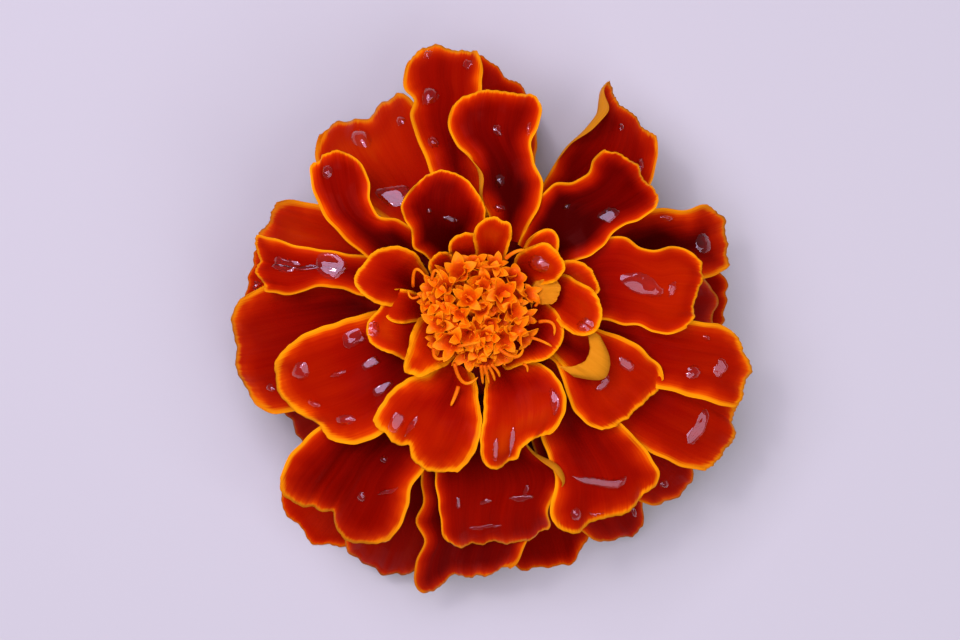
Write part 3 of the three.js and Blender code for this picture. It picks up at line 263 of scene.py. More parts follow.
    ("inner_7", 102, 8.2, 1.8, 1.8, 20.6, 24.0, 0.6, 0.9, dict(start=5.4, spread=0.5, claw=0.8)),
    ("inner_8", 14, 8.4, 1.2, 1.0, 22.2, 24.4, 0.3, 0.6, dict(start=5.2, claw=0.8, turned=True, outline=(
        [(5.4, 0.9), (6.6, 0.8)],
        [(7.5, 0.9), (8.0, 1.7), (8.1, 2.8), (7.6, 3.3)],
        [(4.9, 2.2), (6.0, 3.2)]))),
    ("inner_9", 174, 10.0, 2.0, 1.5, 20.4, 23.0, 0.8, 0.8, dict(start=6.0, spread=0.5, claw=0.8)),
]

# The solid core that the petals grow from, radius and height
CORE_PROFILE = [(0.5, 14.3), (6.2, 14.3), (7.3, 15.4), (8.5, 17.6), (8.5, 19.6), (7.4, 20.4), (0.5, 20.4)]

# The disc: its dome, and the florets, one row each: place of the star's middle as seen from above,
# half width, direction and angle in which it leans. A lean of None is a closed bud.
DISC_X = -0.5
DISC_DOME_RADIUS = 5.0
DISC_DOME_EDGE = 22.2
DISC_DOME_RISE = 1.7
DISC_DOME = [(0.3, 20.8), (4.4, 20.8), (4.6, 21.6), (4.2, 22.6), (2.6, 23.5), (0.3, 23.9)]
# Painted shade: the dome's tone is the dark red of the deep gaps between the florets
DISC_GROUND_SHADE_TONE = 0.15
LOBES = 5
FLORET_LENGTH = 2.7
FLORET_ROOT = 1.2
# Walls of an open floret: shares of the throat's radius and of the floret's length, and the shares
# of the lobes' reach at which their rings stand
FLORET_BELL = [(0.3, 0.3), (0.4, 0.45), (0.62, 0.6), (0.85, 0.74), (1.0, 0.84)]
FLORET_LIMB = [0.2, 0.4, 0.6, 0.8, 1.0]
FLORET_TUBE = [(0.8, 0.76), (0.5, 0.62), (0.25, 0.46), (0.12, 0.3)]
# A bud's length as a share of a floret's, and the radius of its neck
BUD_SHARE = 0.5
BUD_NECK = 0.35
FLORETS = [
    (-2.2, 4.2, 1.7, 120, 18), (-0.6, 5.2, 1.35, 95, 32), (0.3, 2.7, 1.75, 250, 12),
    (2.4, 1.8, 1.7, 30, 10), (3.6, 3.6, 1.6, 45, 30), (3.6, 0.1, 1.5, 0, 20),
    (3.7, -1.7, 1.45, 340, 26), (2.4, -2.8, 1.55, 300, 16), (4.8, -2.8, 1.3, 330, 46),
    (0.6, -2.7, 1.5, 270, 8), (-1.3, -2.3, 1.55, 250, 14), (-2.4, -0.6, 1.6, 170, 12),
    (-4.0, 1.1, 1.6, 175, 30), (-5.3, 2.6, 1.4, 160, 44), (-3.7, 2.8, 1.45, 140, 24),
    (-4.4, -1.3, 1.5, 190, 32), (-3.1, -3.2, 1.7, 225, 26), (-1.2, -4.6, 1.65, 255, 38),
    (2.5, -4.5, 1.55, 295, 36), (0.6, -5.3, 1.4, 272, 52), (-1.2, 1.5, 1.45, 120, 8),
    (1.6, 5.1, 1.3, 72, 40), (5.2, 1.9, 1.2, 15, 46), (-0.2, -3.9, 1.35, 262, 26),
    (-5.4, 0.1, 1.3, 180, 50), (1.3, 4.0, 1.35, 80, 20),
    (0.0, -0.9, 0.8, 0, None), (1.4, -1.1, 0.75, 0, None), (0.3, 0.5, 0.75, 0, None),
    (-0.9, 0.2, 0.7, 0, None), (1.4, 0.2, 0.7, 0, None),
]
# The younger florets that fill the ground between them
YOUNG_FLORETS = 38
YOUNG_REACH = 5.3
YOUNG_SHARE = 0.72
GOLDEN_ANGLE = 137.5
SEED = 7

# Loose strands among the florets, the curled tips of styles and strap-like lobes: three points of a
# curve each, from the flower's axis, and the half width
STRANDS = [
    ((6.0, -1.0, 24.4), (7.9, -0.6, 25.2), (7.5, -2.4, 24.6), 0.17),
    ((5.2, -2.6, 25.0), (6.4, -2.9, 25.6), (7.3, -3.5, 25.0), 0.15),
    ((-2.2, -3.5, 26.4), (-1.0, -3.2, 27.0), (0.1, -3.0, 26.6), 0.16),
    ((1.9, -3.7, 26.2), (4.0, -5.4, 26.4), (4.4, -3.6, 25.6), 0.19),
    ((-6.8, 2.6, 23.6), (-6.9, 5.6, 25.2), (-5.4, 3.4, 24.8), 0.17),
    ((-4.9, 3.2, 25.6), (-4.6, 5.2, 26.4), (-3.8, 3.2, 25.9), 0.16),
    ((-4.7, -3.7, 25.2), (-4.8, -5.4, 24.8), (-3.1, -4.4, 25.4), 0.18),
    ((-2.6, -5.2, 25.0), (-1.9, -8.4, 23.4), (-0.2, -6.6, 24.2), 0.19),
    ((0.1, -5.4, 25.4), (0.2, -6.4, 25.0), (0.3, -7.3, 24.0), 0.17),
    ((0.4, -5.4, 25.5), (0.8, -6.4, 25.2), (0.9, -7.3, 24.2), 0.16),
    ((0.8, -5.4, 25.5), (1.4, -6.2, 25.2), (1.5, -7.0, 24.3), 0.16),
    ((1.1, -5.3, 25.4), (1.9, -5.9, 25.2), (2.0, -6.6, 24.4), 0.16),
    ((2.6, 5.4, 25.6), (3.4, 6.2, 26.2), (4.5, 6.3, 26.0), 0.2),
    ((0.2, 4.6, 26.0), (1.2, 4.4, 26.6), (2.2, 4.8, 26.2), 0.13),
    ((-1.9, 1.5, 25.2), (-1.2, 0.8, 25.9), (-0.5, 0.3, 25.4), 0.13),
    ((-1.5, 1.9, 25.2), (-0.8, 1.2, 25.9), (0.0, 0.7, 25.4), 0.12),
    ((-2.2, -7.6, 22.6), (-2.5, -8.6, 22.8), (-3.0, -9.6, 22.6), 0.2),
    ((4.4, -5.3, 24.6), (4.9, -5.4, 25.0), (4.8, -6.1, 24.4), 0.14),
    ((-6.2, 1.6, 24.4), (-7.2, 1.0, 24.6), (-7.3, 2.2, 24.4), 0.13),
    ((5.6, 0.6, 24.8), (6.4, 1.4, 25.6), (5.4, 2.0, 25.4), 0.13),
]

# The calyx and the stub of the stalk. Pairs are a radius and a height.
CALYX_TEETH = 13
CALYX_TOP = 13.9
CALYX_RIM = 6.3
CALYX_TOOTH_HEIGHT = 1.8
CALYX_RIB = 0.28
CALYX_RIBS_RISE = (2.6, 8.0)
CALYX_NECK = (5.9, 11.3)
CALYX_INSIDE_TOP = 13.2
CALYX_FLOOR = (2, 11.4)
STALK_CUT = [(0.6, 0.55), (1.5, 0.42)]
STALK_TOP = [(1.5, 3.2)]
STALK_PROFILE = [(1.9, 0.4), (2.1, 0.7), (2.15, 1.6), (2.2, 2.6), (2.3, 3.0)]
CALYX_PROFILE = [(2.2, 2.9), (2.6, 3.4), (3.4, 3.9), (4.1, 4.6), (4.9, 6.4), (5.4, 8.8), (5.9, 11.2)]


def smoothstep(x, low, high):
    """The cubic that rises from 0 at low to 1 at high, flat at both ends."""
    share = np.clip((x - low) / (high - low), 0, 1)
    return share * share * (3 - 2 * share)


def petal_shape(number, row):
    """The named values of one row of PETALS, with the waves that its own seed draws."""
    name, azimuth, reach, left, right, base_height, tip_height, arch, red_tone_and_shade, own = row
    large = reach > LARGE_REACH
    size = 1.0 if large else 0.5
    draw = np.random.default_rng(FIRST_PETAL_SEED + number)
    petal = dict(
        name=name, number=number, azimuth=azimuth, reach=reach, left=left, right=right,
        base_height=base_height, tip_height=tip_height, arch=arch, red_tone_and_shade=red_tone_and_shade,
        base=azimuth, start=5.5, corner=0.62, spread=0.65, claw=0.3,
        cup=0.6 if large else 0.35, ruffle=(0.35, 1.6, 0) if large else (0.12, 1.6, 0),
        pleats=0.25 if large else 0.08, rolls=[], outline=None, fold=None, turned=False,
        large=large, hem=0.8 if name.startswith("lowest") else 1.1,
    )
    petal["nicks"] = [(draw.uniform(low, high), draw.uniform(0, PHASES), depth) for low, high, depth in NICKS]
    petal["creases"] = [(draw.uniform(-0.75, 0.75), draw.uniform(0.05, 0.12),
                         size * draw.uniform(0.04, 0.13), draw.uniform(-0.15, 0.15)) for _ in range(CREASES)]
    petal["frill"] = (size * 0.16, draw.uniform(3, 5), draw.uniform(0, PHASES))
    petal["tip_frill"] = (size * 0.18, draw.uniform(1.4, 2.4), draw.uniform(0, PHASES))
    petal.update(own)
    return petal


def chord_places(points):
    """How far along a line of straight chords each of its points lies."""
    return np.concatenate([[0], np.cumsum(np.linalg.norm(np.diff(points, axis=0), axis=1))])


def smooth_curve(points, at, place):
    """The smooth curve through points that lie at the places `at`, evaluated at place: cubic
    Hermite pieces whose slope at each point comes from its two neighbours."""
    slope = np.gradient(points, at, axis=0)
    piece = np.clip(np.searchsorted(at, place, side="right") - 1, 0, len(at) - 2)
    gap = (at[piece + 1] - at[piece])[..., None]
    x = (place - at[piece])[..., None] / gap
    return ((1 + 2 * x) * (1 - x) ** 2 * points[piece] + x * (1 - x) ** 2 * gap * slope[piece]
            + x ** 2 * (3 - 2 * x) * points[piece + 1] - x ** 2 * (1 - x) * gap * slope[piece + 1])


def petal_line(petal):
    """Where the petal's rib starts and ends as seen from above, and its forward and left directions."""
    base_angle, tip_angle = np.radians([petal["base"], petal["azimuth"]])
    base = petal["start"] * np.array([np.cos(base_angle), np.sin(base_angle)])
    tip = petal["reach"] * np.array([np.cos(tip_angle), np.sin(tip_angle)])
    forward = (tip - base) / np.linalg.norm(tip - base)
    return base, tip, forward, np.array([-forward[1], forward[0]])


def roll_radius(roll, along):
    """A roll's radius: a Gaussian along the petal."""
    _, at, length, radius, _ = roll
    return radius * np.exp(-((along - at) / length) ** 2) + LEAST_ROLL


def length_share(petal, across):
    """Share of the full length at across, -1 at the right edge and 1 at the left: a rounded end
    whose corners stand at `corner`, with fine sine nicks."""
    share = petal["corner"] + (1 - petal["corner"]) * np.cos(np.pi / 2 * across)
    for pace, phase, depth in petal["nicks"]:
        share = share * (1 + depth * np.sin(pace * across + phase))
    return share


def petal_rib(petal, q, lateral):
    """The rib's points, its direction and the sideways axis. Seen from above the rib is straight,
    and its height is a straight line plus a parabolic arch. A folded petal's rib is the smooth
    curve through its own points, distance from the base and height, and its sides reach less far."""
    base, tip, forward, sideways = petal_line(petal)
    if petal["fold"]:
        fold = np.array(petal["fold"])
        at = chord_places(fold) / chord_places(fold)[-1]
        place = q / FOLD_REACH
        step = smooth_curve(fold, at, place + NORMAL_STEP) - smooth_curve(fold, at, place - NORMAL_STEP)
        out, height = np.moveaxis(smooth_curve(fold, at, place), -1, 0)
        out = out * (1 - FOLD_ROUNDING * lateral ** 2)
        rib = np.concatenate([base + out[..., None] * forward, height[..., None]], -1)
        run = np.concatenate([step[..., :1] * forward, step[..., 1:]], -1)
    else:
        q = q[..., None]
        plan = base + q * (tip - base)
        fall = petal["tip_height"] - petal["base_height"]
        height = petal["base_height"] + fall * q + petal["arch"] * 4 * q * (1 - q)
        height_run = fall + petal["arch"] * 4 * (1 - 2 * q)
        rib = np.concatenate([plan, height], -1)
        run = np.concatenate([np.broadcast_to(tip - base, plan.shape), height_run], -1)
    return rib, run, np.array([*sideways, 0.0])


def nick_depth(petal, place):
    """The sum of the petal's sine nicks, as a share of its reach."""
    return sum(depth * np.sin(pace * place + phase) for pace, phase, depth in petal["nicks"])


def outlined_sheet(petal, lateral, along):
    """Plan points of an outlined petal and its half width there. The outline is one smooth curve.
    Rows are straight between its two sides, and bulge towards its end by the square of along.
    Fine sine nicks lie all round."""
    right, end, left = petal["outline"]
    base, _, forward, sideways = petal_line(petal)
    claw = petal["claw"]
    outline = np.array([base - claw * petal["right"] * sideways, *right, *end, *left[::-1],
                        base + claw * petal["left"] * sideways])
    at = chord_places(outline)
    first, last = at[len(right) + 1], at[len(right) + len(end)]
    right_side = smooth_curve(outline, at, along * first)
    left_side = smooth_curve(outline, at, at[-1] - along * (at[-1] - last))
    share = (lateral + 1) / 2
    straight = (1 - share)[..., None] * np.array(end[0]) + share[..., None] * np.array(end[-1])
    bulge = smooth_curve(outline, at, first + share * (last - first)) - straight
    bulge = bulge + (nick_depth(petal, lateral) * petal["reach"])[..., None] * forward
    plan = (1 - share)[..., None] * right_side + share[..., None] * left_side
    plan = plan + (along ** 2)[..., None] * bulge
    edge = np.where(lateral > 0, (left_side - base) @ sideways, (base - right_side) @ sideways)
    nick = nick_depth(petal, along) * petal["reach"] * lateral ** 5
    return plan + nick[..., None] * sideways, edge


def petal_sheet(petal, across, along):
    """The flat petal: its share of the rib's length, its side, the distance from the rib on that
    side, and the half width at which it is seen from above. A rolled side is longer by the roll's
    angle less 1, times its radius, where the margin is, and less by the third power inside it."""
    lateral = np.sin(np.pi / 2 * across)
    side = np.where(lateral > 0, 1, -1)
    base, tip, forward, sideways = petal_line(petal)
    if petal["outline"]:
        plan, edge = outlined_sheet(petal, lateral, along)
        q = (plan - base) @ forward / np.linalg.norm(tip - base)
        offset = side * ((plan - base) @ sideways)
    else:
        q = along * length_share(petal, across)
        opening = petal["claw"] + (1 - petal["claw"]) * smoothstep(q, 0, petal["spread"])
        edge = np.where(side > 0, petal["left"], petal["right"]) * opening
        offset = np.abs(lateral) * edge
    for roll in petal["rolls"]:
        rolled_side, *_, angle = roll
        longer = (angle - 1) * roll_radius(roll, along) * np.abs(lateral) ** 3
        offset = np.where(side == rolled_side, offset + longer, offset)
    return q, side, offset, edge


def petal_point(petal, across, along):
    """The middle of the petal's thickness. The flat petal is laid along its rib, cupped by a
    parabola, ruffled by a sine that grows with the third power towards the edges, pleated by a
    sine, creased by Gaussian valleys, frilled by short sines at its margin, and rolled over on a
    circular arc where it has a roll. It never goes below the surface."""
    q, side, offset, edge = petal_sheet(petal, across, along)
    lateral = np.sin(np.pi / 2 * across)
    rib, run, sideways = petal_rib(petal, q, lateral)
    upward = np.cross(run, sideways)
    upward /= np.linalg.norm(upward, axis=-1, keepdims=True)

    height, turns, phase = petal["ruffle"]
    lift = petal["cup"] * lateral ** 2 * smoothstep(q, 0, 0.5)
    wave = np.sin(2 * np.pi * turns * q + phase + RUFFLE_SHIFT * side)
    lift = lift + height * np.abs(lateral) ** 3 * wave * smoothstep(q, 0, 0.4)
    lift = lift + petal["pleats"] * q ** 2 * np.sin(2 * np.pi * lateral)
    for at, width, depth, drift in petal["creases"]:
        lift = lift - depth * np.exp(-((lateral - at - drift * q) / width) ** 2) * smoothstep(q, 0.2, 0.8)
    height, turns, phase = petal["frill"]
    wave = np.sin(2 * np.pi * turns * q + phase + side)
    lift = lift + height * lateral ** 6 * wave * smoothstep(q, 0.2, 0.6)
    height, turns, phase = petal["tip_frill"]
    lift = lift + height * np.sin(2 * np.pi * turns * lateral + phase) * smoothstep(along, 0.8, 1.0)
    out = offset
    for roll in petal["rolls"]:
        radius = roll_radius(roll, along)
        flat = edge - radius
        turn = (offset - flat) / radius
        rolled = (side == roll[0]) & (turn > 0)
        out = np.where(rolled, flat + radius * np.sin(turn), out)
        lift = np.where(rolled, lift + radius * (1 - np.cos(turn)), lift)
    point = rib + (side * out)[..., None] * sideways + lift[..., None] * upward
    point[..., 2] = np.maximum(point[..., 2], PETAL_THICKNESS / 2)
    return point


def petal_normal(petal, across, along):
    """The cross product of short steps along and across the petal."""
    forward = (petal_point(petal, across, np.minimum(along + NORMAL_STEP, 1))
               - petal_point(petal, across, np.maximum(along - NORMAL_STEP, 0)))
    left = (petal_point(petal, np.minimum(across + NORMAL_STEP, 1), along)
            - petal_point(petal, np.maximum(across - NORMAL_STEP, -1), along))
    normal = np.cross(forward, left)
    return normal / np.linalg.norm(normal, axis=-1, keepdims=True)


def margin_distance(flat):
    """Distance of each point of a flat petal's grid from its sides and its end."""
    border = np.concatenate([flat[:, 0], flat[-1], flat[::-1, -1]])
    start, step = border[:-1], np.diff(border, axis=0)
    away = flat.reshape(-1, 1, 2) - start
    share = np.clip((away * step).sum(-1) / np.maximum((step ** 2).sum(-1), 1e-9), 0, 1)
    distance = np.linalg.norm(away - share[..., None] * step, axis=-1).min(-1)
    return distance.reshape(flat.shape[:2])


def grid_quads(rows, columns):
    """The quads of a grid whose points run row by row."""
    corner = (np.arange(rows - 1)[:, None] * columns + np.arange(columns - 1)).ravel()
    return np.stack([corner, corner + columns, corner + columns + 1, corner + 1], -1)


# Below, a solid is its points, a list of arrays of equal faces, and a dict of its vector attributes


def petal_solid(petal):
    """One petal: its two faces and the rim between them. Its attribute place is how far across and
    along the petal a point lies, and the petal's number. look is the distance from the margin in
    widths of the hem, how bright the petal's red is (its own tone and painted shade), and 1 on the underside."""
    rows, columns = LARGE_GRID if petal["large"] else SMALL_GRID
    if petal["rolls"]:
        columns = ROLLED_COLUMNS
    along, across = np.meshgrid(np.linspace(0, 1, rows), np.linspace(-1, 1, columns), indexing="ij")
    middle = petal_point(petal, across, along)
    base, tip = petal_line(petal)[:2]
    q, side, offset, _ = petal_sheet(petal, across, along)
    margin = margin_distance(np.stack([q * np.linalg.norm(tip - base), side * offset], -1))
    thickness = MARGIN_THICKNESS + (PETAL_THICKNESS - MARGIN_THICKNESS) * smoothstep(margin, 0, MARGIN_WIDTH)
    half = (thickness / 2)[..., None] * petal_normal(petal, across, along)
    upper, lower = middle + half, middle - half
    upper[..., 2] = np.maximum(upper[..., 2], MARGIN_THICKNESS / 2)
    lower[..., 2] = np.maximum(lower[..., 2], 0.0)

    count = rows * columns
    face = grid_quads(rows, columns)
    index = np.arange(count).reshape(rows, columns)
    border = np.concatenate([index[0, :-1], index[:-1, -1], index[-1, :0:-1], index[:0:-1, 0]])
    following = np.roll(border, -1)
    rim = np.stack([border, following, following + count, border + count], -1)
    faces = np.concatenate([face, face[:, ::-1] + count, rim])

    number, bright, under = (np.full_like(along, petal[key]) for key in ("number", "red_tone_and_shade", "turned"))
    place = np.stack([np.sin(np.pi / 2 * across), along, number], -1)
    look = [np.stack([margin / petal["hem"], bright, hidden], -1) for hidden in (under, 1 - under)]
    return np.concatenate([upper, lower]).reshape(-1, 3), [faces], {
        "place": np.concatenate([place, place]).reshape(-1, 3), "look": np.concatenate(look).reshape(-1, 3)}


def new_piece(name, solid, material):
    """A smooth mesh object of a solid whose points are in mm off the flower's axis."""
    points, faces, attributes = solid
    mesh = bpy.data.meshes.new(name)
    corners = np.concatenate([f.ravel() for f in faces]).astype(np.int32)
    sizes = np.concatenate([np.full(len(f), f.shape[1]) for f in faces])
    starts = np.concatenate([[0], np.cumsum(sizes)[:-1]]).astype(np.int32)
    mesh.vertices.add(len(points))
    mesh.vertices.foreach_set("co", ((points + AXIS) * MM).astype(np.float32).ravel())
    mesh.loops.add(len(corners))
    mesh.loops.foreach_set("vertex_index", corners)
    mesh.polygons.add(len(sizes))
    mesh.polygons.foreach_set("loop_start", starts)
    mesh.polygons.foreach_set("use_smooth", np.ones(len(sizes), bool))
    for label, values in attributes.items():
        layer = mesh.attributes.new(label, "FLOAT_VECTOR", "POINT")
        layer.data.foreach_set("vector", values.astype(np.float32).ravel())
    mesh.update(calc_edges=True)
    mesh.validate()
    piece = bpy.data.objects.new(name, mesh)
    bpy.context.scene.collection.objects.link(piece)
    mesh.materials.append(material)
    return piece


def join(solids):
    """Several solids with the same kinds of faces and attributes as one."""
    points, faces, attributes = zip(*solids)
    offsets = np.cumsum([0, *map(len, points[:-1])])
    kinds = [np.concatenate([f + offset for f, offset in zip(kind, offsets)]) for kind in zip(*faces)]
    return np.concatenate(points), kinds, {
        label: np.concatenate([values[label] for values in attributes]) for label in attributes[0]}


def ring_solid(rings, **attributes):
    """The solid of a skin over rings of equal count, closed by a fan at each end. rings has the
    shape (rings, sides, 3)."""
    count, sides = rings.shape[:2]
    points = np.concatenate([rings.reshape(-1, 3), rings[0].mean(0)[None], rings[-1].mean(0)[None]])
    side = np.arange(sides)
    after = (side + 1) % sides
    row = (np.arange(count - 1) * sides)[:, None]
    quads = np.stack([row + side, row + after, row + after + sides, row + side + sides], -1).reshape(-1, 4)
    first = np.full(sides, count * sides)
    last = first + 1
    top = (count - 1) * sides
    fans = np.concatenate([np.stack([first, after, side], -1), np.stack([last, top + side, top + after], -1)])
    return points, [quads, fans], attributes


def marked_solid(rings, label, mark):
    """A ring_solid whose attribute holds the mark of each point of the rings in its X. Each end has
    the mean of its ring."""
    mark = np.concatenate([mark.ravel(), [mark[0].mean(), mark[-1].mean()]])
    return ring_solid(rings, **{label: np.stack([mark, 0 * mark, 0 * mark], -1)})


def circle(sides):
    """Evenly spaced turns about an axis, in radians."""
    return np.linspace(0, 2 * np.pi, sides, endpoint=False)


def round_points(radius, turn, height):
    """Points at a radius, turn and height about the Z axis."""
    return np.stack(np.broadcast_arrays(radius * np.cos(turn), radius * np.sin(turn), height), -1)


def profile_curve(profile, steps):
    """Points spaced evenly by number on a profile's corners, joined by straight lines."""
    corners = np.array(profile, float)
    at = np.linspace(0, len(corners) - 1, steps)
    return np.stack([np.interp(at, np.arange(len(corners)), corners[:, k]) for k in range(2)], -1)


def turned_rings(profile, steps, sides):
    """Rings of a solid turned about the Z axis, at the points of its profile's curve."""
    curve = profile_curve(profile, steps)
    return round_points(curve[:, :1], circle(sides), curve[:, 1:])


def lobe_height(turn, lobes):
    """1 in the middle of each lobe and 0 in the notches between them."""
    share = turn / (2 * np.pi) * lobes
    return 1 - 2 * np.abs(share - np.round(share))


def open_floret(length, radius, draw):
    """Rings and tones of a tubular floret. Its outer wall rises from the root, widens like a bell to
    the throat and runs out into pointed lobes, whose reach is a triangle wave round the floret. The
    inner wall comes back down into the tube. The mouth is oval, and each lobe has a length, a bend
    and a sideways swing of its own, and is channelled along its middle by a Gaussian."""
    turn = circle(10 * LOBES)
    peak = lobe_height(turn, LOBES)
    number = np.round(turn / (2 * np.pi) * LOBES).astype(int) % LOBES
    bend = draw.uniform(-0.5, 1.1, LOBES)[number]
    long = draw.uniform(0.55, 1.3, LOBES)[number]
    swing = draw.uniform(-0.3, 0.3, LOBES)[number]
    squash = 1 + draw.uniform(-0.16, 0.16) * np.cos(2 * turn + draw.uniform(0, PHASES))
    throat = 0.55 * radius * squash
    reach = throat * 1.08 + radius * 0.52 * peak * long

    def wall(rows, tone, rise):
        """Round rings of a wall, whose tone rises with the height."""
        return [(share * throat, height, 0, tone + rise * height / length) for share, height in rows]

    foot = [(0.28, -FLORET_ROOT), (0.26, 0.0)]
    rings = wall(foot + [(share, height * length) for share, height in FLORET_BELL], 0.45, 0.3)
    for inner, shares in ((0.0, FLORET_LIMB), (1.0, FLORET_LIMB[::-1])):
        for share in shares:
            curl = 0.84 * length + 0.1 * length * share + bend * peak * share ** 2
            groove = 0.1 * np.exp(-((1 - peak) / 0.35) ** 2) * share
            rings.append((
                throat + (reach - 0.02 * inner - throat) * share - 0.03 * inner * (1 - share),
                curl + 0.08 * inner * (1 - 0.6 * share) - groove,
                swing * peak * share ** 2,
                0.42 + 0.5 * share ** 0.7 * (0.7 + 0.3 * peak) + 0.08 * inner * share))
    rings += wall([(share, height * length) for share, height in FLORET_TUBE], 0.05, 0.35)
    out, up, swung, tone = (np.array([np.broadcast_to(v, turn.shape) for v in kind]) for kind in zip(*rings))
    return round_points(out, turn + swung, up), tone


def closed_floret(length, radius):
    """Rings and tones of a bud: a rounded body that its lobes close to a point, with a groove
    between them."""
    turn = circle(8 * LOBES)
    peak = lobe_height(turn, LOBES)
    share = np.linspace(0, 1, 16)[:, None]
    body = BUD_NECK + (radius - BUD_NECK) * smoothstep(share, 0.2, 0.65)
    close = np.sqrt(np.clip(1 - (np.clip(share - 0.6, 0, 1) / 0.41) ** 2, 0, 1))
    groove = 1 - 0.22 * (1 - peak) ** 2 * smoothstep(share, 0.55, 0.95)
    height = -FLORET_ROOT + (length + FLORET_ROOT) * share
    return round_points(body * close * groove, turn, height), 0.25 + 0.3 * peak * share


def turned(points, axis, degrees):
    """Points turned about the Y or Z axis by the right-hand rule."""
    c, s = np.cos(np.radians(degrees)), np.sin(np.radians(degrees))
    matrix = {
        "y": np.array([[c, 0, s], [0, 1, 0], [-s, 0, c]]),
        "z": np.array([[c, -s, 0], [s, c, 0], [0, 0, 1]]),
    }[axis]
    return points @ matrix.T


def strand(start, bend, end, radius):
    """Rings of a thin round strand along a quadratic curve, thinner towards its end and rounded
    there."""
    share = np.linspace(0, 1, 17)[:, None]
    start, bend, end = np.array(start), np.array(bend), np.array(end)
    line = (1 - share) ** 2 * start + 2 * share * (1 - share) * bend + share ** 2 * end
    run = 2 * (1 - share) * (bend - start) + 2 * share * (end - bend)
    across = np.cross(run, [0.3, 0.2, 1.0])
    across /= np.linalg.norm(across, axis=1, keepdims=True)
    other = np.cross(run, across)
    other /= np.linalg.norm(other, axis=1, keepdims=True)
    turn = circle(10)[None, :, None]
    taper = radius * np.sqrt(1 - 0.98 * share ** 8) * (1.1 - 0.3 * share)
    ring = across[:, None] * np.cos(turn) + other[:, None] * np.sin(turn)
    return line[:, None] + taper[:, None] * ring


def make_strands(material):
    """All the strands as one piece, paler towards their ends."""
    solids = []
    for row in STRANDS:
        rings = strand(*row)
        tone = np.linspace(0.5, 0.95, len(rings))[:, None] + np.zeros(rings.shape[1])
        solids.append(marked_solid(rings, "bloom", tone))
    return new_piece("disc_strands", join(solids), material)


def young_florets(draw):
    """Rows like those of FLORETS for the younger florets between them: places on a sunflower
    spiral, a little scattered, that lean out from the disc's middle."""
    rows = []
    for number in range(YOUNG_FLORETS):
        distance = YOUNG_REACH * np.sqrt((number + 0.5) / YOUNG_FLORETS)
        direction = GOLDEN_ANGLE * number
        x, y = distance * np.cos(np.radians(direction)), distance * np.sin(np.radians(direction))
        x, y = x + DISC_X + draw.uniform(-0.3, 0.3), y + draw.uniform(-0.3, 0.3)
        rows.append((x, y, draw.uniform(0.9, 1.25), direction + draw.uniform(-40, 40), 8.5 * distance))
    return rows


def make_florets(material):
    """Each floret stands with its root in the dome and leans so that its star opens over the
    place that its row gives; the spin about its own axis and the length are drawn at random."""
    draw = np.random.default_rng(SEED)
    young = young_florets(draw)
    sizes = [1] * len(FLORETS) + [YOUNG_SHARE] * len(young)
    solids = []
    for (x, y, radius, direction, lean), size in zip(FLORETS + young, sizes):
        length = size * (FLORET_LENGTH * draw.uniform(0.85, 1.15))
        if lean is None:
            length = BUD_SHARE * length
            rings, tone = closed_floret(length, radius)
        else:
            rings, tone = open_floret(length, radius, draw)
        tilt = (lean or 0) + draw.uniform(-6, 6)
        rings = turned(rings, "z", draw.uniform(0, 360 / LOBES))
        rings = turned(turned(rings, "y", tilt), "z", direction)
        away = length * np.sin(np.radians(tilt))
        foot = np.array([x - away * np.cos(np.radians(direction)), y - away * np.sin(np.radians(direction))])
        share = min(np.hypot(foot[0] - DISC_X, foot[1]) / DISC_DOME_RADIUS, 1)
        height = DISC_DOME_EDGE + DISC_DOME_RISE * (1 - share ** 2)
        rings = rings + np.array([*foot, height])
        solids.append(marked_solid(rings, "bloom", tone + draw.uniform(-0.08, 0.08)))
    return new_piece("disc_florets_fine", join(solids), material)


def make_calyx(material):
    """The cup of fused bracts: rings whose radius is the profile's plus a triangle wave of ribs, one
    for each tooth, up to a rim of pointed teeth, then back down inside. Its attribute place is how
    many teeth round it a point lies, and its height."""
    turn = circle(12 * CALYX_TEETH)
    wave = lobe_height(turn, CALYX_TEETH)
    rings = []
    for radius, height in profile_curve(CALYX_PROFILE, 30):
        rib = CALYX_RIB * smoothstep(height, *CALYX_RIBS_RISE)
        rings.append(round_points(radius + rib * (wave ** 0.7 - 0.5), turn, height))
    rim = CALYX_TOP - CALYX_TOOTH_HEIGHT * (1 - wave ** 0.8)
    neck, neck_height = CALYX_NECK
    for share in (0.35, 0.7, 1.0):
        reach = neck + (CALYX_RIM - neck) * share + 0.1 * (1 - wave)
        rings.append(round_points(reach, turn, neck_height + (rim - neck_height) * share))
    for inset, drop in ((0.25, 0.05), (0.5, 0.4), (1.0, 1.6)):
        rings.append(round_points(CALYX_RIM - inset, turn, np.minimum(rim - drop, CALYX_INSIDE_TOP)))
    floor, floor_height = CALYX_FLOOR
    rings.append(round_points(floor, turn, floor_height))
    rings = np.array(rings)
    around = np.broadcast_to(turn / (2 * np.pi) * CALYX_TEETH, rings.shape[:2])
    place = np.stack([around, rings[..., 2], 0 * around], -1).reshape(-1, 3)
    place = np.concatenate([place, [[0, CALYX_PROFILE[0][1], 0], [0, floor_height, 0]]])
    return new_piece("calyx_fine", ring_solid(rings, place=place), material)


def make_stalk(material):
    """The stub of the stalk: a round stem with eight shallow ribs and a slightly dished cut end,
    which its attribute place marks by an X of 1."""
    profile = np.concatenate([STALK_CUT, profile_curve(STALK_PROFILE, 12), STALK_TOP])
    turn = circle(64)
    rings = round_points(profile[:, :1] * (1 + 0.035 * np.sin(8 * turn)), turn, profile[:, 1:])
    cut = np.zeros(rings.shape[:2])
    cut[:len(STALK_CUT)] = 1
    return new_piece("stalk_fine", marked_solid(rings, "place", cut), material)


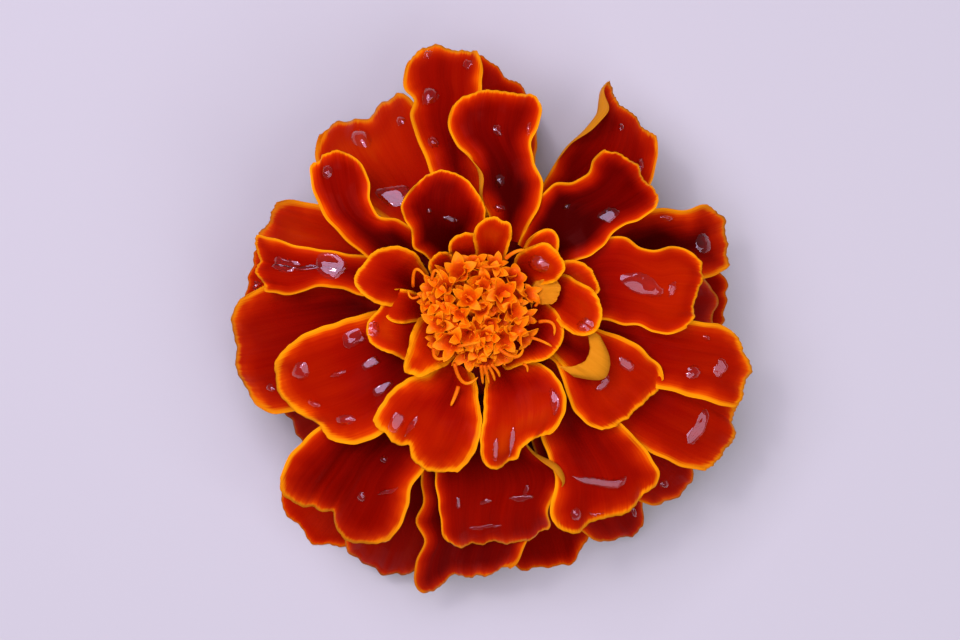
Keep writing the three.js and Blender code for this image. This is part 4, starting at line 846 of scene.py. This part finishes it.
# Water on the petals: petal, place from the flower's axis as seen from above, width across the
# petal, length along it, and the height of a drop. A film, which fills a hollow, has no height, but
# how its outline leans and bends: along the petal per mm across it, and per square mm across it.
LEVEL = (0, 0)
DROPS = [
    ("second_1", -5.5, 27.2, 1.2, 1.2, 0.5),
    ("second_1", -5.3, 22.7, 2.1, 2.3, 0.8),
    ("second_1", -4.9, 17.7, 1.3, 1.4, 0.5),
    ("second_1", -1.2, 26.1, 1.6, 1.3, LEVEL),
    ("second_2", -12.7, 18.3, 2.6, 2.9, 0.8),
    ("second_2", -8.4, 20.3, 1.3, 1.5, 0.5),
    ("second_2", -9.0, 12.0, 3.6, 3.2, LEVEL),
    ("fourth_1", 1.8, 18.6, 1.2, 1.4, 0.5),
    ("fourth_1", 2.0, 13.5, 1.3, 1.5, 0.5),
    ("fourth_1", 2.0, 10.8, 1.4, 0.9, 0.4),
    ("fourth_1", 5.0, 18.8, 0.8, 1.4, 0.4),
    ("fourth_4", -15.7, 14.4, 1.1, 1.5, 0.45),
    ("third_1", -20.1, 4.9, 2.4, 3.2, LEVEL),
    ("third_1", -15.4, 4.9, 3.2, 3.6, LEVEL),
    ("third_1", -17.8, 4.6, 1.2, 2.6, LEVEL),
    ("fourth_5", -18.6, -6.0, 2.3, 2.4, 0.8),
    ("fourth_5", -13.0, -2.5, 2.0, 2.8, LEVEL),
    ("fourth_5", -11.3, -5.2, 1.2, 2.2, LEVEL),
    ("fourth_5", -10.0, -7.9, 1.2, 2.6, LEVEL),
    ("fourth_5", -13.9, -11.1, 1.5, 2.4, 0.6),
    ("fourth_5", -14.6, -6.4, 0.8, 2.0, 0.4),
    ("fourth_5", -17.2, -9.5, 1.5, 1.3, 0.5),
    ("second_7", -22.2, -8.0, 1.2, 1.4, 0.5),
    ("lowest_3", -24.6, 2.9, 1.2, 1.6, 0.4),
    ("third_2", -9.4, -18.7, 2.1, 0.7, (-0.7, 0)),
    ("third_2", -12.4, -19.4, 1.1, 1.3, 0.45),
    ("third_2", -10.0, -15.4, 1.0, 1.0, 0.4),
    ("crest_2", -8.6, -11.2, 1.5, 2.6, LEVEL),
    ("crest_2", -7.0, -11.6, 0.7, 2.6, LEVEL),
    ("crest_1", -3.0, 9.5, 1.8, 0.8, LEVEL),
    ("crest_1", -5.2, 10.3, 0.7, 0.8, 0.3),
    ("crest_3", 1.6, -14.0, 0.8, 2.6, LEVEL),
    ("crest_3", 3.2, -13.2, 0.9, 3.4, LEVEL),
    ("crest_3", 7.7, -9.1, 1.2, 2.8, LEVEL),
    ("third_3", 0.6, -19.8, 1.5, 0.8, 0.3),
    ("third_3", 4.4, -19.5, 2.6, 0.9, LEVEL),
    ("third_3", 4.8, -18.6, 0.7, 1.4, LEVEL),
    ("third_3", -2.3, -19.9, 0.7, 1.5, LEVEL),
    ("third_3", 0.4, -22.6, 4.2, 0.5, LEVEL),
    ("third_4", 12.4, -17.8, 6.6, 1.2, (0.5, -0.08)),
    ("third_4", 12.2, -21.2, 1.6, 0.5, (0.3, -0.3)),
    ("third_4", 9.9, -21.0, 1.6, 1.6, 0.6),
    ("third_5", 22.3, -6.3, 1.9, 1.9, 0.55),
    ("third_5", 25.2, -5.8, 2.4, 1.8, LEVEL),
    ("third_5", 23.6, -2.6, 0.8, 1.0, 0.35),
    ("third_6", 23.1, -12.1, 4.8, 1.9, LEVEL),
    ("fourth_3", 16.6, 2.9, 2.4, 4.8, LEVEL),
    ("fourth_3", 19.8, 2.4, 1.8, 1.0, LEVEL),
    ("fourth_2", 13.3, 10.0, 1.8, 2.2, LEVEL),
    ("fourth_2", 8.9, 10.9, 0.7, 1.0, 0.3),
    ("second_4", 23.7, 7.3, 2.4, 2.4, 0.5),
    ("second_4", 19.6, 9.9, 1.3, 1.6, 0.45),
    ("second_3", 17.0, 15.6, 1.2, 1.8, 0.45),
    ("second_3", 14.9, 19.6, 0.8, 1.2, 0.35),
    ("lowest_8", 19.8, -18.5, 1.1, 1.5, 0.4),
    ("lowest_7", 16.6, -21.6, 1.1, 1.7, 0.4),
    ("inner_3", 6.0, 4.9, 2.2, 2.6, 1.0),
    ("crest_8", 10.7, -1.3, 1.8, 1.6, 0.4),
    ("crest_4", 15.1, -5.3, 1.3, 2.2, LEVEL),
    ("crest_4", 12.7, -7.4, 2.2, 1.0, LEVEL),
    ("crest_6", -10.9, -1.7, 1.8, 1.6, 0.4),
]
DROP_FLATNESS = 0.7
FILM_BULGE = 0.05
FILM_BLEND = 0.25
# The direction that a film turns its surface to, halfway between the camera and the large soft box,
# and how far it turns there from the plane of its outline
FILM_FACES = np.array([-0.13, 0.124, 0.984])
FILM_TURN = 0.55
FILM_SQUARENESS = 6
# How much of its random wobble an outline takes
DROP_WOBBLE = 0.35
FILM_WOBBLE = 1.2
WATER_SINK = 0.08
# Shares of the petal's half width and length within which water stays
WATER_START = 0.02
WATER_REACH = 0.97
# Points along and across a petal among which a drop's place is looked for
SEARCH_STEPS = 121
WATER_SIDES = 40
WATER_STEPS = 12


def water_drop(petal, x, y, width, length, height, draw):
    """Water that lies on a petal. Its outline is an ellipse on the petal's own across and along
    directions with a low wobble, and a film's leans and bends to a parabola too. A drop is a
    paraboloid on the petal. The top of a film is a plane, a little domed, between that of its
    outline and that which faces the light, so that it levels out the petal: its depth is a smooth
    maximum of 0 and the depth below that plane. The rim of either is sunk a little."""
    across, along = np.meshgrid(np.linspace(-1, 1, SEARCH_STEPS), np.linspace(0, 1, SEARCH_STEPS))
    plan = petal_point(petal, across, along)
    nearest = np.argmin((plan[..., 0] - x) ** 2 + (plan[..., 1] - y) ** 2)
    here = [np.array([across.ravel()[nearest]]), np.array([along.ravel()[nearest]])]
    middle = petal_point(petal, *here)
    mm_across = np.linalg.norm(petal_point(petal, here[0] + NORMAL_STEP, here[1]) - middle) / NORMAL_STEP
    mm_along = np.linalg.norm(petal_point(petal, here[0], here[1] + NORMAL_STEP) - middle) / NORMAL_STEP
    film = isinstance(height, tuple)
    lean, bend = height if film else LEVEL
    turn = circle(WATER_SIDES)
    waves = sum(draw.uniform(0.02, 0.07) * np.sin(k * turn + draw.uniform(0, PHASES)) for k in (2, 3, 4))
    wobble = 1 + (FILM_WOBBLE if film else DROP_WOBBLE) * waves
    distance = np.linspace(0.02, 1, WATER_STEPS)[:, None]
    aside = -distance * wobble * width / 2 * np.cos(turn)
    forward = distance * wobble * length / 2 * np.sin(turn) + lean * aside + bend * aside ** 2
    at_across = np.clip(here[0] + aside / mm_across, -WATER_REACH, WATER_REACH)
    at_along = np.clip(here[1] + forward / mm_along, WATER_START, WATER_REACH)
    skin = petal_point(petal, at_across, at_along)
    normal = petal_normal(petal, at_across, at_along)
    seat = PETAL_THICKNESS / 2
    bottom = skin + normal * (seat - WATER_SINK)
    if film:
        rim = bottom[-1] - bottom[-1].mean(0)
        level = np.linalg.svd(rim)[2][2]
        level = (1 - FILM_TURN) * level * np.sign(level[2]) + FILM_TURN * FILM_FACES
        level /= np.linalg.norm(level)
        drop = ((bottom - bottom[-1].mean(0)) @ level)[..., None]
        depth = (np.sqrt(drop ** 2 + FILM_BLEND ** 2) - drop) / 2
        dome = (1 - distance ** FILM_SQUARENESS)[..., None]
        top = bottom + level * (depth + WATER_SINK + FILM_BULGE) * dome
    else:
        dome = (DROP_FLATNESS * height + WATER_SINK) * (1 - distance ** 2) - WATER_SINK
        top = skin + normal * (seat + dome)[..., None]
    return ring_solid(np.concatenate([bottom, top[::-1]]))


def make_water(petals, material):
    """All the drops as one piece."""
    draw = np.random.default_rng(SEED)
    by_name = {petal["name"]: petal for petal in petals}
    drops = [water_drop(by_name[name], *row, draw) for name, *row in DROPS]
    return new_piece("water_drops", join(drops), material)


def colour(code):
    """A linear RGBA colour from an sRGB hex code."""
    value = np.array([int(code[k:k + 2], 16) for k in (1, 3, 5)]) / 255
    linear = np.where(value <= 0.04045, value / 12.92, ((value + 0.055) / 1.055) ** 2.4)
    return (*linear.tolist(), 1.0)


def add(tree, kind, settings=None, **inputs):
    """Adds a node, sets its settings, and gives each input a value or a link to a socket. An input is
    named, or numbered as in i0."""
    node = tree.nodes.new(kind)
    for key, value in (settings or {}).items():
        setattr(node, key, value)
    for key, value in inputs.items():
        numbered = key[0] == "i" and key[1:].isdigit()
        socket = node.inputs[int(key[1:]) if numbered else key.replace("_", " ")]
        if isinstance(value, bpy.types.NodeSocket):
            tree.links.new(value, socket)
        else:
            socket.default_value = value
    return node


def new_material(name, **values):
    """A material with one Principled shader and its constant values. Returns it, tree and shader."""
    material = bpy.data.materials.new(name)
    material.use_nodes = True
    tree = material.node_tree
    tree.nodes.clear()
    shader = add(tree, "ShaderNodeBsdfPrincipled", **values)
    output = add(tree, "ShaderNodeOutputMaterial")
    tree.links.new(shader.outputs["BSDF"], output.inputs["Surface"])
    return material, tree, shader


def ramp(tree, value, stops):
    """A colour ramp with (position, hex colour) stops."""
    node = add(tree, "ShaderNodeValToRGB", Fac=value)
    elements = node.color_ramp.elements
    while len(elements) < len(stops):
        elements.new(0.5)
    for element, (position, code) in zip(elements, stops):
        element.position = position
        element.color = colour(code)
    return node.outputs["Color"]


def attribute(tree, name):
    """The vector of a mesh attribute."""
    return add(tree, "ShaderNodeAttribute", {"attribute_name": name}).outputs["Vector"]


def parts(tree, vector):
    """The X, Y and Z of a vector."""
    node = add(tree, "ShaderNodeSeparateXYZ", Vector=vector)
    return [node.outputs[axis] for axis in "XYZ"]


def scaled(tree, vector, *scale):
    """A vector times a scale on each axis."""
    return add(tree, "ShaderNodeMapping", Scale=scale, Vector=vector).outputs["Vector"]


def own_place(tree, along=1.0):
    """The place on the piece in mm. A pattern is drawn out along Z where along is less than 1."""
    return scaled(tree, add(tree, "ShaderNodeTexCoord").outputs["Object"], 1 / MM, 1 / MM, along / MM)


def noise(tree, place, scale, detail, **more):
    """Cloudy noise about 0.5, whose coarsest patches are 1 / scale across."""
    return add(tree, "ShaderNodeTexNoise", Vector=place, Scale=scale, Detail=detail, **more).outputs["Fac"]


def total(tree, start, *terms):
    """start plus value * weight for each (value, weight) term."""
    for value, weight in terms:
        node = add(tree, "ShaderNodeMath", {"operation": "MULTIPLY_ADD"}, i0=value, i1=weight, i2=start)
        start = node.outputs[0]
    return start


def between(tree, value, low, high, least=0.0, most=1.0, kind="SMOOTHSTEP"):
    """A number from least, where value is low, to most, where it is high."""
    return add(tree, "ShaderNodeMapRange", {"interpolation_type": kind}, Value=value, From_Min=low,
               From_Max=high, To_Min=least, To_Max=most).outputs["Result"]


def blend(tree, share, first, second):
    """The first colour where share is 0, and the second where it is 1."""
    return add(tree, "ShaderNodeMix", {"data_type": "RGBA"}, Factor=share, i6=first, i7=second).outputs[2]


def bump(tree, shader, height, distance, strength):
    """Relief on the shader: height times a distance in mm."""
    node = add(tree, "ShaderNodeBump", Height=height, Distance=distance * MM, Strength=strength)
    tree.links.new(node.outputs["Normal"], shader.inputs["Normal"])


def petal_tissue():
    """Marigold petal: a velvety epidermis of fine conical cells over a thin wet leaf of tissue.
    To the eye it is deep maroon that turns scarlet and then orange at the margin, finely veined
    along its length, satin where dry and mirror-wet in patches. Its underside is plain yellow. Painted
    shade darkens its claw end, the petals that stand in shade and the hem of the lower whorls."""
    material, tree, shader = new_material(
        "velvet_petal_tissue", Sheen_Weight=0.02, Sheen_Roughness=0.5,
        Sheen_Tint=colour("#ff5010"), IOR=1.4, Specular_IOR_Level=0.05,
        Specular_Tint=colour("#ff8878"))
    place = attribute(tree, "place")
    along = parts(tree, place)[1]
    margin, red_tone_and_shade, under = parts(tree, attribute(tree, "look"))
    millimetres = own_place(tree)

    # Veins run from the claw to the margin, so their pattern is stretched along the petal
    veins = noise(tree, scaled(tree, place, 1.6, 0.9, 7.3), 1.6, 2.0)
    fine = noise(tree, scaled(tree, place, 34, 2.2, 7.3), 1.0, 2.0)
    clouds = noise(tree, millimetres, 0.25, 2.0)

    # The margin is a bright line, and inside it the orange fades into the red along the veins: reach
    # is the distance from the margin over 3 mm, less what the fine veins and the clouds take
    bleed = total(tree, margin, (fine, -0.3))
    line = between(tree, bleed, -0.1, 0.2)
    reach = between(tree, total(tree, bleed, (clouds, -1.2)), -0.75, 2.25, kind="LINEAR")

    # How bright the red face is: the petal's own share, which also paints the shade that some petals stand
    # in, darker towards the claw, partly its real maroon heart and partly painted shade deep among the
    # petals, and less in the veins
    tip = between(tree, along, 0.15, 0.9, -0.5, 0.02)
    face = ramp(tree, total(tree, tip, (red_tone_and_shade, 0.8), (veins, 0.3), (fine, 0.14)), [
        (0.0, "#400000"), (0.25, "#680200"), (0.5, "#900a00"), (0.75, "#b01e00"), (1.0, "#cc4200")])
    edge = ramp(tree, reach, [
        (0.0, "#f06400"), (0.06, "#dc4800"), (0.13, "#c42e00"), (0.22, "#b01c00"), (0.4, "#9e1000"),
        (1.0, "#8a0800")])
    red = blend(tree, between(tree, reach, 0.12, 0.7), edge, face)
    # Painted shade: the hem is duller on the lower whorls, which stand in the others' shade
    height = between(tree, parts(tree, millimetres)[2], 4, 17, kind="LINEAR")
    hem = blend(tree, height, colour("#c86408"), colour("#ffa208"))
    upper = blend(tree, line, hem, red)

    # The underside: yellow, a little redder in streaks
    lower = ramp(tree, fine, [(0.3, "#cc800e"), (0.6, "#d88e18"), (0.8, "#cc780c")])
    tree.links.new(blend(tree, under, upper, lower), shader.inputs["Base Color"])

    # Wet patches a few millimetres wide
    patch = noise(tree, millimetres, 0.28, 1.5, Distortion=0.6)
    tree.links.new(between(tree, patch, 0.52, 0.6, 0.65, 0.3), shader.inputs["Roughness"])

    # Relief in millimetres: vein ridges, and papillae drawn at 0.25 mm so that they show
    papillae = noise(tree, millimetres, 4.0, 1.0)
    bump(tree, shader, total(tree, 0.0, (veins, 0.05), (fine, 0.015), (papillae, 0.02)), 1, 0.7)
    return material


def floret_tissue():
    """Disc floret: waxy, juicy tissue, orange in the tube and throat and yellow-orange in the lobes."""
    material, tree, shader = new_material(
        "waxy_floret_tissue", Roughness=0.5, IOR=1.42, Subsurface_Weight=0.08,
        Subsurface_Radius=(0.0012, 0.0004, 0.0001), Specular_IOR_Level=0.1)
    tone = parts(tree, attribute(tree, "bloom"))[0]
    millimetres = own_place(tree)
    tint = ramp(tree, total(tree, tone, (noise(tree, millimetres, 1.6, 3.0), 0.36)), [
        (0.15, "#901c00"), (0.4, "#c43600"), (0.65, "#e05e00"), (0.9, "#f27c00"), (1.0, "#fc9004")])
    tree.links.new(tint, shader.inputs["Base Color"])
    bump(tree, shader, noise(tree, millimetres, 7.0, 1.0), 0.05, 0.6)
    return material


def green_bract():
    """Calyx bracts: smooth green skin, with sunken dark oil glands in rows along the ribs."""
    material, tree, shader = new_material(
        "green_bract_skin", Roughness=0.45, IOR=1.42, Subsurface_Weight=0.08,
        Subsurface_Radius=(0.0004, 0.0008, 0.0002))
    glands = add(tree, "ShaderNodeTexVoronoi", Vector=scaled(tree, attribute(tree, "place"), 2.6, 0.55, 1),
                 Scale=1.0, Randomness=0.7).outputs["Distance"]
    gland = between(tree, glands, 0.16, 0.26)
    clouds = noise(tree, own_place(tree), 0.6, 3.0)
    green = ramp(tree, clouds, [(0.3, "#4c6a22"), (0.55, "#6c8a34"), (0.75, "#8aa04a")])
    tree.links.new(blend(tree, gland, colour("#3a2f10"), green), shader.inputs["Base Color"])
    bump(tree, shader, total(tree, gland, (clouds, 0.3)), 0.12, 0.7)
    return material


def green_stalk():
    """Stalk: finely ribbed green skin, with pale moist pith in the cut end."""
    material, tree, shader = new_material("green_stalk_skin", Roughness=0.5, IOR=1.42)
    cut = parts(tree, attribute(tree, "place"))[0]
    fibres = noise(tree, own_place(tree, 0.25), 1.8, 3.0)
    skin = ramp(tree, fibres, [(0.3, "#50702a"), (0.6, "#7c9440"), (0.8, "#8a6a44")])
    pith = ramp(tree, fibres, [(0.3, "#b9c080"), (0.7, "#dfe0b4")])
    tree.links.new(blend(tree, cut, skin, pith), shader.inputs["Base Color"])
    bump(tree, shader, fibres, 0.1, 0.6)
    return material


def shaded_core_tissue():
    """Receptacle and packed claws: matt tissue whose dark reds are painted shade deep between the petals."""
    material, tree, shader = new_material(
        "receptacle_shaded_tissue", Roughness=0.7, IOR=1.4, Specular_IOR_Level=0.05)
    fibres = noise(tree, own_place(tree), 0.9, 4.0)
    tint = ramp(tree, fibres, [(0.3, "#2c0000"), (0.6, "#5a0600"), (0.8, "#7c1400")])
    tree.links.new(tint, shader.inputs["Base Color"])
    bump(tree, shader, fibres, 0.3, 0.7)
    return material


def rain_water():
    """Rain water: clear and mirror-smooth. It refracts less than real water does, because light
    that a drop gathers on the petal below it, and so brightens it, isn't traced."""
    return new_material(
        "rain_water", Base_Color=colour("#fff4f4"), Roughness=0.0, IOR=1.1, Transmission_Weight=1.0,
        Coat_Weight=1.0, Coat_Roughness=0.02, Coat_IOR=1.62)[0]


def pale_paper():
    """The floor: plain matt off-white board."""
    return new_material("pale_floor", Base_Color=colour("#c6ccc0"), Roughness=0.9)[0]


def dress(piece, slot, *nodes):
    """The piece rides on the root body and stands for CAD nodes, which it hides. slot is not used."""
    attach(piece, "root")
    if nodes:
        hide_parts(*nodes)


def make_flower():
    """All the pieces: the whorls and their receptacle, the disc, the calyx and stalk, the water."""
    petals = [petal_shape(number, row) for number, row in enumerate(PETALS)]
    tissue = petal_tissue()
    for whorl in ("lowest", "second", "third", "fourth", "crest", "inner"):
        solid = join([petal_solid(petal) for petal in petals if petal["name"].startswith(whorl)])
        dress(new_piece(f"petals_{whorl}", solid, tissue), "petal", "ray_petals")
    core = ring_solid(turned_rings(CORE_PROFILE, 40, 72))
    dress(new_piece("receptacle", core, shaded_core_tissue()), "petal", "ray_petals")

    floret = floret_tissue()
    rings = turned_rings(DISC_DOME, 24, 60) + np.array([DISC_X, 0, 0])
    dome = marked_solid(rings, "bloom", np.full(rings.shape[:2], DISC_GROUND_SHADE_TONE))
    dress(new_piece("disc_dome", dome, floret), "floret", "disc_florets")
    dress(make_florets(floret), "floret", "disc_florets")
    dress(make_strands(floret), "floret", "disc_florets")

    dress(make_calyx(green_bract()), "green", "calyx_and_stalk")
    dress(make_stalk(green_stalk()), "green", "calyx_and_stalk")
    dress(make_water(petals, rain_water()), "water")


def make_light(name, place, size, power, tint):
    """A square soft box that points at the flower's middle."""
    data = bpy.data.lights.new(name, "AREA")
    data.shape = "SQUARE"
    data.size = size * MM
    data.energy = power
    data.color = colour(tint)[:3]
    light = bpy.data.objects.new(name, data)
    light.location = [v * MM for v in place]
    aim = np.array(LIGHT_AIM) - np.array(place, float)
    yaw = np.arctan2(aim[1], aim[0])
    tilt = np.arctan2(np.hypot(aim[0], aim[1]), -aim[2])
    light.rotation_euler = (tilt, 0, yaw - np.pi / 2)
    bpy.context.scene.collection.objects.link(light)


def make_stage():
    """The floor, three soft boxes, an even sky and the camera straight above."""
    scene = bpy.context.scene
    bpy.ops.mesh.primitive_plane_add(size=FLOOR_SIZE * MM, location=(0, 0, 0))
    floor = bpy.context.object
    floor.name = "floor"
    floor.data.materials.append(pale_paper())
    for row in LIGHTS:
        make_light(*row)
    world = bpy.data.worlds.new("sky")
    world.use_nodes = True
    sky = world.node_tree.nodes["Background"]
    sky.inputs["Color"].default_value = colour(SKY_TINT)
    sky.inputs["Strength"].default_value = SKY_STRENGTH
    scene.world = world
    data = bpy.data.cameras.new("camera")
    data.lens = LENS
    data.sensor_width = SENSOR
    data.clip_start = CLIP_START * MM
    camera = bpy.data.objects.new("camera", data)
    camera.location = [v * MM for v in CAMERA_PLACE]
    scene.collection.objects.link(camera)
    scene.camera = camera
    scene.view_settings.view_transform = "Standard"


make_flower()
make_stage()
